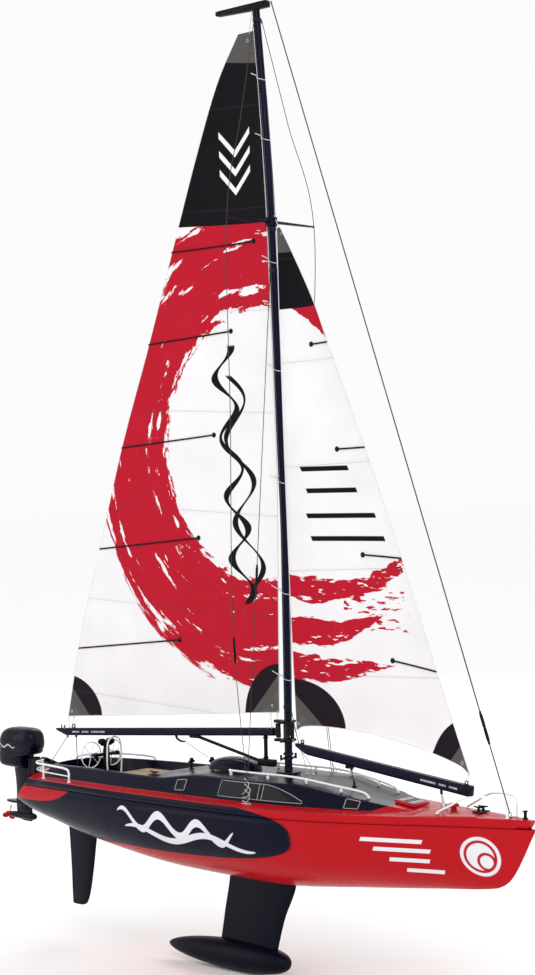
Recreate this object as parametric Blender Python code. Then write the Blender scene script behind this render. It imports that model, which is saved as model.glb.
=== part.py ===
"""Radio-controlled racing sloop with fin keel, swinging booms, sail winch, rudder and outboard motor.

Frame, in metres: X points to the bow, Y to port, Z up. X = 0 is the mast, Z = 0 the hull's
underside below it. The deck is held level, as when the boat stands on its cradle.
"""
import math

import bpy
import bmesh
from mathutils import Matrix, Vector

GAP = 0.0003                  # clearance between pieces that touch

# Hull: each row is (x, half beam at the deck edge, deck edge height)
SHEER = [(-0.462, 0.072, 0.1070), (-0.400, 0.081, 0.1080), (-0.330, 0.091, 0.1095),
         (-0.250, 0.100, 0.1100), (-0.150, 0.106, 0.1105), (-0.050, 0.1075, 0.1105),
         (0.030, 0.105, 0.1105), (0.110, 0.094, 0.1110), (0.180, 0.074, 0.1120),
         (0.270, 0.043, 0.1140), (0.320, 0.0265, 0.1150), (0.360, 0.0130, 0.1155),
         (0.3965, 0.0012, 0.1158)]
# Keel line: (x, height of the hull's underside on the centre plane)
KEEL = [(-0.462, 0.0680), (-0.400, 0.0460), (-0.280, 0.0220), (-0.140, 0.0050), (0.000, 0.0),
        (0.140, 0.0105), (0.250, 0.0210), (0.332, 0.0305), (0.349, 0.0385), (0.3965, 0.1150)]
TRANSOM_X = -0.462
STERN_SHAPE_START = -0.380    # the transom's rake and plan curve fade out here
TRANSOM_RAKE = 0.036 / 0.037  # aft run per metre of drop
TRANSOM_ROUND = 0.026 / 0.072 ** 2
HULL_WALL = 0.0020
LIP = 0.0100                  # depth of the deck's rubbing strake
DECK_SKIN = 0.0016

# Deck features
COAMING_TOP = 0.0185          # above the deck edge
ROOF = 0.0270
FLOOR_DROP = 0.0010
COCKPIT_AFT, COCKPIT_FWD = -0.425, -0.200
CABIN_NOSE = 0.235

# Rig
MAST_R = 0.0050
ROOF_TOP_Z = 0.1390
MAST_FOOT_Z = 0.1425
MAST_TOP_Z = 1.1310
MAST_BEND = [(MAST_FOOT_Z, 0.0), (0.300, 0.0005), (0.430, 0.0005), (0.596, -0.0045),
             (0.752, -0.0090), (0.854, -0.0125), (1.000, -0.0215), (MAST_TOP_Z, -0.0325)]
CRANE_AFT_X = -0.104
SPREADER_Z, SPREADER_SPAN = 0.853, 0.081
MAIN_AXIS_LOW = Vector((-0.0170, 0, 0.1900))
MAIN_AXIS_TOP = Vector((-0.0475, 0, 1.1080))
BOOM_FWD = Vector((-0.0230, 0, 0.1925))
BOOM_AFT = Vector((-0.4560, 0, 0.1642))
TACK_Z = 0.2180               # mainsail tack, above the boom's heel
LUFF_GAP = 0.0105             # mast centre to mainsail luff
JIB_AXIS_LOW = Vector((0.2560, 0, 0.1250))
JIB_BOOM_AFT = Vector((0.0130, 0, 0.1753))
JIB_BOOM_FWD = Vector((0.2970, 0, 0.1423))
JIB_BOOM_HALF = (0.0052, 0.0066)   # half breadth and half depth
JIB_FOOT_RISE = 0.0190        # arch of the jib's foot above a straight line
CHAINPLATE = Vector((0.0070, 0.082, 0.1130))

RUDDER_X = -0.402
STOCK_R = 0.0020              # rudder stock radius
MOTOR_X = -0.5150             # steering axis
MOTOR_HINGE = Vector((-0.5050, 0, 0.1225))
WHEEL_X, WHEEL_Y, WHEEL_Z, WHEEL_R = -0.360, 0.0200, 0.1395, 0.0190


def clear_scene():
    for ob in list(bpy.data.objects):
        bpy.data.objects.remove(ob, do_unlink=True)


def material(name, colour, rough=0.35, metal=0.0):
    mat = bpy.data.materials.get(name) or bpy.data.materials.new(name)
    mat.use_nodes = True
    shader = mat.node_tree.nodes["Principled BSDF"]
    shader.inputs["Base Color"].default_value = (*colour, 1.0)
    shader.inputs["Roughness"].default_value = rough
    shader.inputs["Metallic"].default_value = metal
    mat.diffuse_color = (*colour, 1.0)
    return mat


RED = ("red_gelcoat", (0.40, 0.012, 0.018), 0.15)
NAVY = ("navy_gloss", (0.012, 0.012, 0.060), 0.18)
BLACK = ("black_plastic", (0.012, 0.012, 0.014), 0.35)
WHITE = ("white_plastic", (0.85, 0.85, 0.84), 0.30)
FOIL = ("foil_navy", (0.010, 0.010, 0.028), 0.25)
TEAK = ("teak", (0.26, 0.15, 0.05), 0.60)
TINT = ("tinted_window", (0.005, 0.005, 0.006), 0.08)
CLOTH = ("sailcloth", (0.80, 0.78, 0.80), 0.75)
WIRE = ("rig_wire", (0.05, 0.05, 0.055), 0.45)
STEEL = ("stainless", (0.60, 0.60, 0.62), 0.25, 1.0)
BRASS = ("brass_tube", (0.62, 0.45, 0.18), 0.30, 1.0)
LEAD = ("painted_lead", (0.010, 0.010, 0.022), 0.30)
CELL = ("battery_wrap", (0.03, 0.12, 0.30), 0.40)
PROP = ("prop_red", (0.42, 0.010, 0.030), 0.30)


def make(name, verts, faces, look, smooth_deg=35):
    """A named mesh object whose faces all point outwards."""
    mesh = bpy.data.meshes.new(name)
    mesh.from_pydata([tuple(v) for v in verts], [], faces)
    bm = bmesh.new()
    bm.from_mesh(mesh)
    bmesh.ops.remove_doubles(bm, verts=bm.verts, dist=1e-6)
    bmesh.ops.recalc_face_normals(bm, faces=bm.faces)
    if bm.calc_volume(signed=True) < 0:
        bmesh.ops.reverse_faces(bm, faces=bm.faces)
    bm.to_mesh(mesh)
    bm.free()
    mesh.shade_smooth()
    mesh.set_sharp_from_angle(angle=math.radians(smooth_deg))
    mesh.materials.append(material(*look))
    ob = bpy.data.objects.new(name, mesh)
    bpy.context.scene.collection.objects.link(ob)
    return ob


def loft(rings):
    """Vertices and faces of a closed solid through equal-length closed rings, capped at both ends."""
    n = len(rings[0])
    verts = [v for ring in rings for v in ring]
    faces = [tuple(range(n))[::-1]]
    for k in range(len(rings) - 1):
        for i in range(n):
            j = (i + 1) % n
            faces.append((k * n + i, k * n + j, (k + 1) * n + j, (k + 1) * n + i))
    faces.append(tuple(range((len(rings) - 1) * n, len(rings) * n)))
    return verts, faces


def place(ob, origin):
    """Move an object's origin without moving its shape."""
    origin = Vector(origin)
    ob.data.transform(Matrix.Translation(-origin))
    ob.location = origin
    return ob


def guide(ob):
    ob.hide_render = True
    ob.display_type = "WIRE"
    return ob


def boolean(ob, other, operation="UNION"):
    """Join or cut an object with a helper, which stays hidden as a wire guide."""
    mod = ob.modifiers.new(operation.lower(), "BOOLEAN")
    mod.operation = operation
    mod.object = guide(other)
    return ob


def bevelled(ob, width, segments=2):
    mod = ob.modifiers.new("bevel", "BEVEL")
    mod.width = width
    mod.segments = segments
    mod.limit_method = "ANGLE"
    mod.angle_limit = math.radians(40)
    return ob


def box(name, low, high, look, bevel=0.0):
    (x0, y0, z0), (x1, y1, z1) = low, high
    rings = [[(x, y0, z0), (x, y1, z0), (x, y1, z1), (x, y0, z1)] for x in (x0, x1)]
    ob = make(name, *loft(rings), look)
    return bevelled(ob, bevel) if bevel else ob


def ring_at(centre, normal, radius, sides, up=Vector((0, 0, 1))):
    """A circle of points; radius may be one value or a pair of half-axes."""
    normal = Vector(normal).normalized()
    if abs(normal.dot(up)) > 0.95:
        up = Vector((1, 0, 0))
    side = normal.cross(up).normalized()
    top = side.cross(normal).normalized()
    ra, rb = radius if isinstance(radius, tuple) else (radius, radius)
    turn = [2 * math.pi * i / sides for i in range(sides)]
    return [Vector(centre) + side * (ra * math.cos(a)) + top * (rb * math.sin(a)) for a in turn]


def rod(name, start, end, radius, look, sides=12, end_radius=None):
    start, end = Vector(start), Vector(end)
    rings = [ring_at(start, end - start, radius, sides),
             ring_at(end, end - start, end_radius or radius, sides)]
    return make(name, *loft(rings), look)


def catmull(points, per_span=6):
    """A smooth line through the given points."""
    pts = [Vector(p) for p in points]
    pts = [pts[0] * 2 - pts[1]] + pts + [pts[-1] * 2 - pts[-2]]
    out = []
    for a, b, c, d in zip(pts, pts[1:], pts[2:], pts[3:]):
        for k in range(per_span):
            t = k / per_span
            out.append(0.5 * ((2 * b) + (c - a) * t + (2 * a - 5 * b + 4 * c - d) * t ** 2
                              + (3 * b - a - 3 * c + d) * t ** 3))
    return out + [pts[-2]]


def tube(name, points, radius, look, resolution=2):
    """A bent round bar or wire along points, as a bevelled curve with filled caps."""
    curve = bpy.data.curves.new(name, "CURVE")
    curve.dimensions = "3D"
    spline = curve.splines.new("POLY")
    spline.points.add(len(points) - 1)
    for p, co in zip(spline.points, points):
        p.co = (*co, 1.0)
    curve.bevel_depth = radius
    curve.bevel_resolution = resolution
    curve.use_fill_caps = True
    curve.materials.append(material(*look))
    ob = bpy.data.objects.new(name, curve)
    bpy.context.scene.collection.objects.link(ob)
    return ob


def tube_mesh(name, points, radius, look, sides=10):
    """The same bar as a mesh, for pieces that a Boolean joins."""
    pts = [Vector(p) for p in points]
    rings = []
    for i, p in enumerate(pts):
        along = pts[min(i + 1, len(pts) - 1)] - pts[max(i - 1, 0)]
        rings.append(ring_at(p, along, radius, sides, up=Vector((0.05, 1, 0.1)).normalized()))
    return make(name, *loft(rings), look)


def extrude_xz(name, outline, half_width, look, bevel=0.0):
    """A flat piece cut from an outline in the XZ plane."""
    rings = [[(x, y, z) for x, z in outline] for y in (-half_width, half_width)]
    ob = make(name, *loft(rings), look)
    return bevelled(ob, bevel) if bevel else ob


def table(rows, x, column=1):
    """Smooth value of one column of a table at x, without overshoot between rows."""
    for i in range(len(rows) - 1):
        if x <= rows[i + 1][0] or i == len(rows) - 2:
            break
    x0, x1 = rows[i][0], rows[i + 1][0]
    y0, y1 = rows[i][column], rows[i + 1][column]

    def secant(k):
        k = min(max(k, 0), len(rows) - 2)
        return (rows[k + 1][column] - rows[k][column]) / (rows[k + 1][0] - rows[k][0])

    def slope(k):
        before, after = secant(k - 1), secant(k)
        return 0.0 if before * after <= 0 else 2 * before * after / (before + after)

    t = min(max((x - x0) / (x1 - x0), 0.0), 1.0)
    h = x1 - x0
    return (y0 * (2 * t ** 3 - 3 * t ** 2 + 1) + slope(i) * h * (t ** 3 - 2 * t ** 2 + t)
            + y1 * (3 * t ** 2 - 2 * t ** 3) + slope(i + 1) * h * (t ** 3 - t ** 2))


def half_beam(x):
    return table(SHEER, x, 1)


def sheer(x):
    return table(SHEER, x, 2)


def stern_shape(p):
    """Rake the transom and round it in plan, fading out forward."""
    x, y, z = p
    t = min(max((STERN_SHAPE_START - x) / (STERN_SHAPE_START - TRANSOM_X), 0.0), 1.0)
    t = t * t * (3 - 2 * t)
    return (x + t * (TRANSOM_ROUND * y * y - TRANSOM_RAKE * (SHEER[0][2] - z)), y, z)


def hull_ring(x, inset=0.0, top_raise=0.0, steps=10):
    """One hull section, closed across its top. The bilge is full aft and sharpens to the bow."""
    fullness = 3.2 if x < -0.40 else 2.15 if x > -0.05 else 3.2 - 1.05 * (x + 0.40) / 0.35
    if x > 0.10:
        fullness = 2.15 - 0.75 * (x - 0.10) / 0.28
    b = half_beam(x) - inset
    keel = table(KEEL, x) + inset * 1.3
    rim = sheer(x) - LIP - 2 * GAP
    side = []
    for i in range(steps):
        a = math.pi / 2 * i / (steps - 1)
        y = b * max(math.cos(a), 0.0) ** (2 / fullness)
        z = rim - (rim - keel) * math.sin(a) ** (2 / fullness)
        side.append((y, z))
    pts = [(x, y, z) for y, z in side] + [(x, -y, z) for y, z in reversed(side[:-1])]
    if top_raise:
        pts += [(x, -b, rim + top_raise), (x, b, rim + top_raise)]
    return [stern_shape(p) for p in pts]


def hull_shell():
    stations = [-0.462, -0.440, -0.415, -0.390, -0.350, -0.300, -0.240, -0.170, -0.090, 0.0, 0.080,
                0.150, 0.210, 0.265, 0.305, 0.334, 0.350, 0.365, 0.378, 0.3885]
    hull = make("hull_shell", *loft([hull_ring(x) for x in stations]), RED)
    inner = [-0.4585, -0.440, -0.415, -0.390, -0.350, -0.300, -0.240, -0.170, -0.090, 0.0, 0.080,
             0.150, 0.210, 0.265, 0.305, 0.328]
    hollow = [hull_ring(x, inset=HULL_WALL, top_raise=0.006) for x in inner]
    boolean(hull, make("hull_hollow", *loft(hollow), BLACK), "DIFFERENCE")
    tube_hole = rod("rudder_tube_hole", (RUDDER_X, 0, 0.030), (RUDDER_X, 0, 0.090),
                    0.0035 + GAP, BLACK)
    boolean(hull, tube_hole, "DIFFERENCE")
    keel_hole = rod("keel_bolt_hole", (-0.060, 0, -0.010), (-0.060, 0, 0.010), 0.0025 + GAP, BLACK)
    boolean(hull, keel_hole, "DIFFERENCE")
    return hull


def cabin_half_width(x):
    """Foot of the coaming and cabin side, measured from the centre plane."""
    return table([(-0.430, 0.058), (-0.355, 0.066), (-0.200, 0.078), (-0.050, 0.0800),
                  (0.040, 0.0745), (0.110, 0.0620), (0.180, 0.0440), (0.235, 0.0220)], x)


def raised_height(x):
    """Height of the coaming or cabin roof edge above the deck edge."""
    if x <= -0.170:
        return COAMING_TOP
    return table([(-0.170, COAMING_TOP), (-0.090, ROOF), (0.060, ROOF), (0.120, 0.0190),
                  (0.180, 0.0095), (CABIN_NOSE, 0.0012)], x)


def side_point(x, up, outward=0.0):
    """A point on the coaming and cabin side: up runs from 0 at its foot to 1 at its top edge."""
    foot, tall = cabin_half_width(x), raised_height(x)
    y = foot - (0.30 * tall + 0.004) * up + outward
    return y, sheer(x) + 0.0015 + (tall - 0.0015) * up + 0.3 * outward


def deck_half_section(x, kind):
    """Half outline of the deck from the strake's lower edge in to the centre plane."""
    b, zs = half_beam(x), sheer(x)
    pts = [(b, zs - LIP), (b + 0.0010, zs - LIP * 0.5), (b + 0.0002, zs - 0.0010), (b - 0.0008, zs)]
    tall = raised_height(x) if kind != "end" else 0.0015
    if kind in ("fore", "end"):
        crown = 0.004 * min(1.0, b / 0.03)
        pts += [(b * k, zs + crown * (1 - k * k)) for k in (0.85, 0.73, 0.60, 0.46, 0.32, 0.16)]
        return pts + [(0.0, zs + crown)]
    foot = min(cabin_half_width(x), b * 0.86)
    pts.append((foot + 0.0025, zs + 0.0008))
    pts += [side_point(x, u) for u in (0.04, 0.94)]
    top_y = side_point(x, 1.0)[0]
    pts.append((top_y - 0.0025, zs + tall))
    if kind == "cockpit":
        floor = zs - FLOOR_DROP
        pts += [(top_y - 0.0075, zs + tall), (top_y - 0.0090, floor)]
    else:
        crown = 0.0015
        pts += [(top_y * 0.66, zs + tall + crown * 0.55), (top_y * 0.33, zs + tall + crown * 0.9)]
        floor = zs + tall + crown
    return pts + [(0.0, floor)]


def deck_moulding():
    """Deck, coamings, cabin and rubbing strake, drawn as one skin and thickened inwards."""
    layout = [(-0.462, "end"), (-0.442, "end"), (-0.4335, "end"), (-0.4300, "cabin"),
              (COCKPIT_AFT - 0.0005, "cabin"), (COCKPIT_AFT + 0.0040, "cockpit"),
              (-0.390, "cockpit"), (-0.340, "cockpit"), (-0.270, "cockpit"),
              (COCKPIT_FWD - 0.0040, "cockpit"), (COCKPIT_FWD + 0.0005, "cabin"),
              (-0.170, "cabin"), (-0.130, "cabin"), (-0.090, "cabin"), (-0.030, "cabin"),
              (0.030, "cabin"), (0.060, "cabin"), (0.090, "cabin"), (0.120, "cabin"),
              (0.150, "cabin"), (0.180, "cabin"), (0.208, "cabin"), (0.230, "cabin"),
              (0.245, "fore"), (0.280, "fore"), (0.315, "fore"), (0.345, "fore"), (0.368, "fore"),
              (0.3880, "fore")]
    rings = []
    for x, kind in layout:
        half = deck_half_section(x, kind)
        ring = [(x, y, z) for y, z in half] + [(x, -y, z) for y, z in reversed(half[:-1])]
        if x > 0.37:
            ring = [(px - 0.6 * (sheer(x) - pz), py, pz) for px, py, pz in ring]
        rings.append([stern_shape(p) for p in ring])
    n = len(rings[0])
    verts = [v for ring in rings for v in ring]
    faces = [tuple(range(n))[::-1]]
    for k in range(len(rings) - 1):
        for i in range(n - 1):
            faces.append((k * n + i, k * n + i + 1, (k + 1) * n + i + 1, (k + 1) * n + i))
    faces.append(tuple(range((len(rings) - 1) * n, len(rings) * n)))
    mesh = bpy.data.meshes.new("deck_moulding")
    mesh.from_pydata(verts, [], faces)
    bm = bmesh.new()
    bm.from_mesh(mesh)
    bmesh.ops.triangulate(bm, faces=[f for f in bm.faces if len(f.verts) > 4])
    bmesh.ops.recalc_face_normals(bm, faces=bm.faces)
    top = max(bm.faces, key=lambda f: f.calc_center_median().z)
    if top.normal.z < 0:
        bmesh.ops.reverse_faces(bm, faces=bm.faces)
    bm.to_mesh(mesh)
    bm.free()
    mesh.shade_smooth()
    mesh.set_sharp_from_angle(angle=math.radians(35))
    mesh.materials.append(material(*NAVY))
    deck = bpy.data.objects.new("deck_moulding", mesh)
    bpy.context.scene.collection.objects.link(deck)
    skin = deck.modifiers.new("skin", "SOLIDIFY")
    skin.thickness = DECK_SKIN
    skin.offset = -1.0
    return deck


def side_panel(name, sign, stations, look, out=0.0009):
    """A thin pane lying on the cabin side; each station is (x, lower edge, upper edge)."""
    rings = []
    for x, low, high in stations:
        corners = [side_point(x, low, GAP), side_point(x, high, GAP),
                   side_point(x, high, GAP + out), side_point(x, low, GAP + out)]
        rings.append([(x, sign * y, z) for y, z in corners])
    return make(name, *loft(rings), look)


def cabin_window(name, sign):
    """The long window: square aft end, its upper edge curving down to a nose forward."""
    aft, shoulder, nose = -0.052, 0.020, 0.083
    low, high = 0.16, 0.90
    stations = []
    for k in range(10):
        x = aft + (nose - aft) * k / 9
        t = max(0.0, (x - shoulder) / (nose - shoulder))
        stations.append((x, low, high - (high - low - 0.10) * t ** 1.6))
    return side_panel(name, sign, stations, TINT)


def cockpit_hatch():
    """Slatted lid of the radio bay, a comb profile drawn across and extruded along the boat."""
    x0, x1, half, z0, z1 = -0.300, -0.212, 0.034, 0.1100, 0.1200
    slats, groove = 8, 0.0012
    pitch = 2 * half / slats
    outline = [(-half, z0), (half, z0)]
    for k in range(slats):
        y = half - k * pitch
        outline += [(y, z1), (y - pitch + groove, z1)]
        if k < slats - 1:
            outline += [(y - pitch + groove, z1 - 0.002), (y - pitch, z1 - 0.002)]
        else:
            outline[-1] = (-half, z1)
    rings = [[(x, y, z) for y, z in outline] for x in (x0, x1)]
    return make("cockpit_hatch", *loft(rings), TEAK)


def dome(name, x0, x1, half, z0, tall, look, power=2.3, along=8, around=8):
    """A rounded cover, flat underneath."""
    rings = []
    for k in range(along + 1):
        t = -0.985 + 1.97 * k / along
        s = (1 - abs(t) ** power) ** (1 / power)
        x = (x0 + x1) / 2 + (x1 - x0) / 2 * t
        arc = [(x, half * s * math.cos(math.pi * i / around),
                z0 + tall * s * math.sin(math.pi * i / around) ** 0.8) for i in range(around + 1)]
        rings.append(arc)
    return make(name, *loft(rings), look)


def foredeck_hatch():
    """Raised hatch that follows the sloping front of the cabin roof."""
    low = [(0.190, 0.0165), (0.2210, 0.0160)]
    rings = []
    for x, half in low:
        base = sheer(x) + raised_height(x) + 0.0015 + GAP + 0.0004
        rings.append([(x, half, base), (x, half - 0.0015, base + 0.0030),
                      (x, -half + 0.0015, base + 0.0030), (x, -half, base)])
    return make("foredeck_hatch", *loft(rings), RED)


def foil(name, sections, look, points=9):
    """A streamlined blade through sections of (z, nose x, tail x, thickness)."""
    rings = []
    for z, nose, tail, thick in sections:
        chord = nose - tail
        upper = []
        for i in range(points):
            c = (1 - math.cos(math.pi * i / (points - 1))) / 2
            y = 5 * thick * (0.2969 * math.sqrt(c) - 0.126 * c - 0.3516 * c ** 2
                             + 0.2843 * c ** 3 - 0.1000 * c ** 4)
            upper.append((nose - chord * c, max(y, 0.0004)))
        ring = [(x, y, z) for x, y in upper] + [(x, -y, z) for x, y in reversed(upper)]
        rings.append(ring)
    return make(name, *loft(rings), look)


def turned(name, start, end, profile, look, sides=16):
    """A round body on the line from start to end; profile is (share of length, radius)."""
    start, end = Vector(start), Vector(end)
    rings = [ring_at(start.lerp(end, t), end - start, r, sides) for t, r in profile]
    return make(name, *loft(rings), look)


def keel():
    fin = foil("keel_fin", [(-0.1035, -0.029, -0.131, 0.0085), (-0.0500, -0.012, -0.120, 0.0095),
                            (-0.0050, 0.009, -0.110, 0.0105), (0.0150, 0.012, -0.108, 0.0110)], FOIL)
    underside = [hull_ring(x, inset=-GAP, top_raise=0.02) for x in (-0.17, -0.12, -0.06, 0.0, 0.06)]
    boolean(fin, make("fin_trim", *loft(underside), BLACK), "DIFFERENCE")
    boolean(fin, rod("keel_bolt_bore", (-0.060, 0, -0.050), (-0.060, 0, 0.010), 0.0025 + GAP, BLACK),
            "DIFFERENCE")
    shape = [(k / 10, 0.0175 * (4 * (k / 10) ** 0.62 * (1 - k / 10)) ** 0.55 * 0.98) for k in range(11)]
    shape = [(t, max(r, 0.0012)) for t, r in shape]
    turned("keel_bulb", (-0.006, 0, -0.1070), (-0.228, 0, -0.1080), shape, LEAD)
    slot = box("bulb_slot", (-0.1360, -0.0064, -0.1055), (-0.0215, 0.0064, -0.080), BLACK)
    boolean(bpy.data.objects["keel_bulb"], slot, "DIFFERENCE")
    bolt = rod("keel_bolt", (-0.060, 0, -0.0350), (-0.060, 0, 0.0150), 0.0025, STEEL)
    boolean(bolt, rod("keel_nut_shape", (-0.060, 0, 0.0055), (-0.060, 0, 0.0110), 0.0055, STEEL, 6))


def rudder():
    """Blade with its stock, turning in a tube through the hull, and the tiller arm on top."""
    blade = foil("rudder_blade", [(-0.0790, -0.4040, -0.4265, 0.0030), (-0.0730, -0.3955, -0.4270, 0.0038),
                                  (-0.0600, -0.3895, -0.4275, 0.0043), (-0.0300, -0.3825, -0.4285, 0.0052),
                                  (0.0100, -0.3755, -0.4310, 0.0062), (0.0330, -0.3715, -0.4330, 0.0068)],
                 FOIL)
    boolean(blade, rod("stock_shape", (RUDDER_X, 0, 0.0250), (RUDDER_X, 0, 0.0990), STOCK_R, STEEL))
    place(blade, (RUDDER_X, 0, 0.0500))
    sleeve = rod("rudder_tube", (RUDDER_X, 0, 0.0345), (RUDDER_X, 0, 0.0880), 0.0035, BRASS)
    boolean(sleeve, rod("rudder_tube_bore", (RUDDER_X, 0, 0.030), (RUDDER_X, 0, 0.093),
                        STOCK_R + GAP, BRASS), "DIFFERENCE")
    arm = box("tiller_arm", (RUDDER_X - 0.006, -0.0200, 0.0900), (RUDDER_X + 0.006, 0.0060, 0.0940),
              BLACK, 0.0008)
    boolean(arm, rod("tiller_bore", (RUDDER_X, 0, 0.080), (RUDDER_X, 0, 0.110), STOCK_R + GAP, BLACK),
            "DIFFERENCE")


def servo(name, x, y, z, size, shaft_x):
    """A servo case with its two mounting ears."""
    (lx, ly, lz) = size
    case = box(name, (x - lx / 2, y - ly / 2, z), (x + lx / 2, y + ly / 2, z + lz), BLACK, 0.0008)
    ears = box(name + "_ears", (x - lx / 2 - 0.006, y - ly / 2, z + lz * 0.66),
               (x + lx / 2 + 0.006, y + ly / 2, z + lz * 0.66 + 0.0025), BLACK)
    boolean(case, ears)
    boss = rod(name + "_boss", (shaft_x, y, z + lz - 0.001), (shaft_x, y, z + lz + 0.0025), 0.0050, BLACK)
    return boolean(case, boss)


def radio_gear():
    """Servo, winch, receiver and battery on a tray in the hull."""
    box("radio_tray", (-0.340, -0.050, 0.0490), (-0.100, 0.050, 0.0518), BLACK)
    tray = bpy.data.objects["radio_tray"]
    for k, (x, half_x, half_y) in enumerate([(-0.275, 0.0120, 0.0065), (-0.165, 0.0210, 0.0105)]):
        well = box(f"tray_well_{k}", (x - half_x, -half_y, 0.045),
                   (x + half_x, half_y, 0.060), BLACK)
        boolean(tray, well, "DIFFERENCE")
    servo("rudder_servo", -0.275, 0.0, 0.0370, (0.0230, 0.0120, 0.0230), -0.281)
    arm = box("servo_horn", (-0.2855, -0.0200, 0.0630), (-0.2765, 0.0060, 0.0650), WHITE, 0.0006)
    place(arm, (-0.281, 0, 0.0640))
    servo("winch_servo", -0.165, 0.0, 0.0280, (0.0410, 0.0200, 0.0370), -0.155)
    drum = turned("winch_drum", (-0.155, 0, 0.0680), (-0.155, 0, 0.0800),
                  [(0.0, 0.0190), (0.15, 0.0190), (0.35, 0.0150), (0.65, 0.0150), (0.85, 0.0190),
                   (1.0, 0.0190)], BLACK, 20)
    place(drum, (-0.155, 0, 0.0740))
    tube("rudder_pushrod", catmull([(-0.2810, -0.0160, 0.0668), (-0.300, -0.0160, 0.0705),
                                    (-0.360, -0.0160, 0.0945), (-0.4020, -0.0160, 0.0965)], 5),
         0.0009, STEEL)
    box("receiver", (-0.250, -0.044, 0.0522), (-0.205, -0.020, 0.0642), BLACK, 0.001)
    box("battery_pack", (-0.095, -0.030, 0.0180), (-0.035, 0.030, 0.0340), CELL, 0.003)


def mast_x(z):
    return table(MAST_BEND, z)


def mast():
    box("mast_step", (-0.012, -0.011, ROOF_TOP_Z + GAP + 0.0002), (0.012, 0.011, MAST_FOOT_Z - GAP),
        BLACK, 0.0008)
    levels = [MAST_FOOT_Z, 0.25, 0.35, 0.45, 0.55, 0.65, 0.75, 0.85, 0.95, 1.05, MAST_TOP_Z]
    rings = [ring_at((mast_x(z), 0, z), (0, 0, 1), MAST_R, 16) for z in levels]
    make("mast", *loft(rings), NAVY)
    top = MAST_TOP_Z + GAP
    fwd = -0.010
    extrude_xz("masthead_crane", [(fwd, top), (fwd, top + 0.0095), (CRANE_AFT_X, top + 0.0095),
                                  (CRANE_AFT_X, top + 0.0025), (-0.045, top)], 0.0040, BLACK)


def spreaders():
    """Two arms on a collar that grips the mast."""
    x = mast_x(SPREADER_Z)
    rings = []
    for k in range(9):
        y = SPREADER_SPAN * (k - 4) / 4
        s = abs(y) / SPREADER_SPAN
        half_x, half_z = 0.0046 - 0.0018 * s, 0.0022 - 0.0009 * s
        turn = [2 * math.pi * i / 8 for i in range(8)]
        rings.append([(x + half_x * math.cos(a), y, SPREADER_Z + half_z * math.sin(a)) for a in turn])
    bar = make("spreader_bar", *loft(rings), NAVY)
    boolean(bar, rod("spreader_collar", (x, 0, SPREADER_Z - 0.006), (x, 0, SPREADER_Z + 0.006),
                     MAST_R + 0.0028, NAVY, 16))
    lean = (mast_x(SPREADER_Z + 0.02) - mast_x(SPREADER_Z - 0.02)) / 0.04
    boolean(bar, rod("spreader_bore", (x - lean * 0.02, 0, SPREADER_Z - 0.02),
                     (x + lean * 0.02, 0, SPREADER_Z + 0.02), MAST_R + 0.0005, NAVY, 16),
            "DIFFERENCE")


def main_axis(z):
    t = (z - MAIN_AXIS_LOW.z) / (MAIN_AXIS_TOP.z - MAIN_AXIS_LOW.z)
    return MAIN_AXIS_LOW.lerp(MAIN_AXIS_TOP, t)


def gooseneck():
    """Collar on the mast with a forked bracket above and below the boom's pivot pin."""
    fork = box("gooseneck_bracket", (-0.0215, -0.0045, 0.1805), (0.0085, 0.0045, 0.2085), BLACK, 0.0008)
    boolean(fork, rod("gooseneck_collar", (0, 0, 0.1805), (0, 0, 0.2085), 0.0085, BLACK, 16))
    boolean(fork, rod("gooseneck_mast_bore", (0, 0, 0.170), (0, 0, 0.220), MAST_R + 0.0008, BLACK, 16),
            "DIFFERENCE")
    jaw = box("gooseneck_jaw", (-0.030, -0.010, 0.1845), (-0.0110, 0.010, 0.2045), BLACK)
    boolean(fork, jaw, "DIFFERENCE")


def bar_between(name, start, end, half_y, half_z, look):
    """A flat-sided bar with chamfered corners between two points in the XZ plane."""
    start, end = Vector(start), Vector(end)
    along = (end - start).normalized()
    up = Vector((0, 1, 0)).cross(along) * -1
    c = 0.35
    outline = [(1, c), (c, 1), (-c, 1), (-1, c), (-1, -c), (-c, -1), (c, -1), (1, -c)]
    rings = [[p + Vector((0, half_y, 0)) * u + up * (half_z * v) for u, v in outline]
             for p in (start, end)]
    return make(name, *loft(rings), look)


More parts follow.
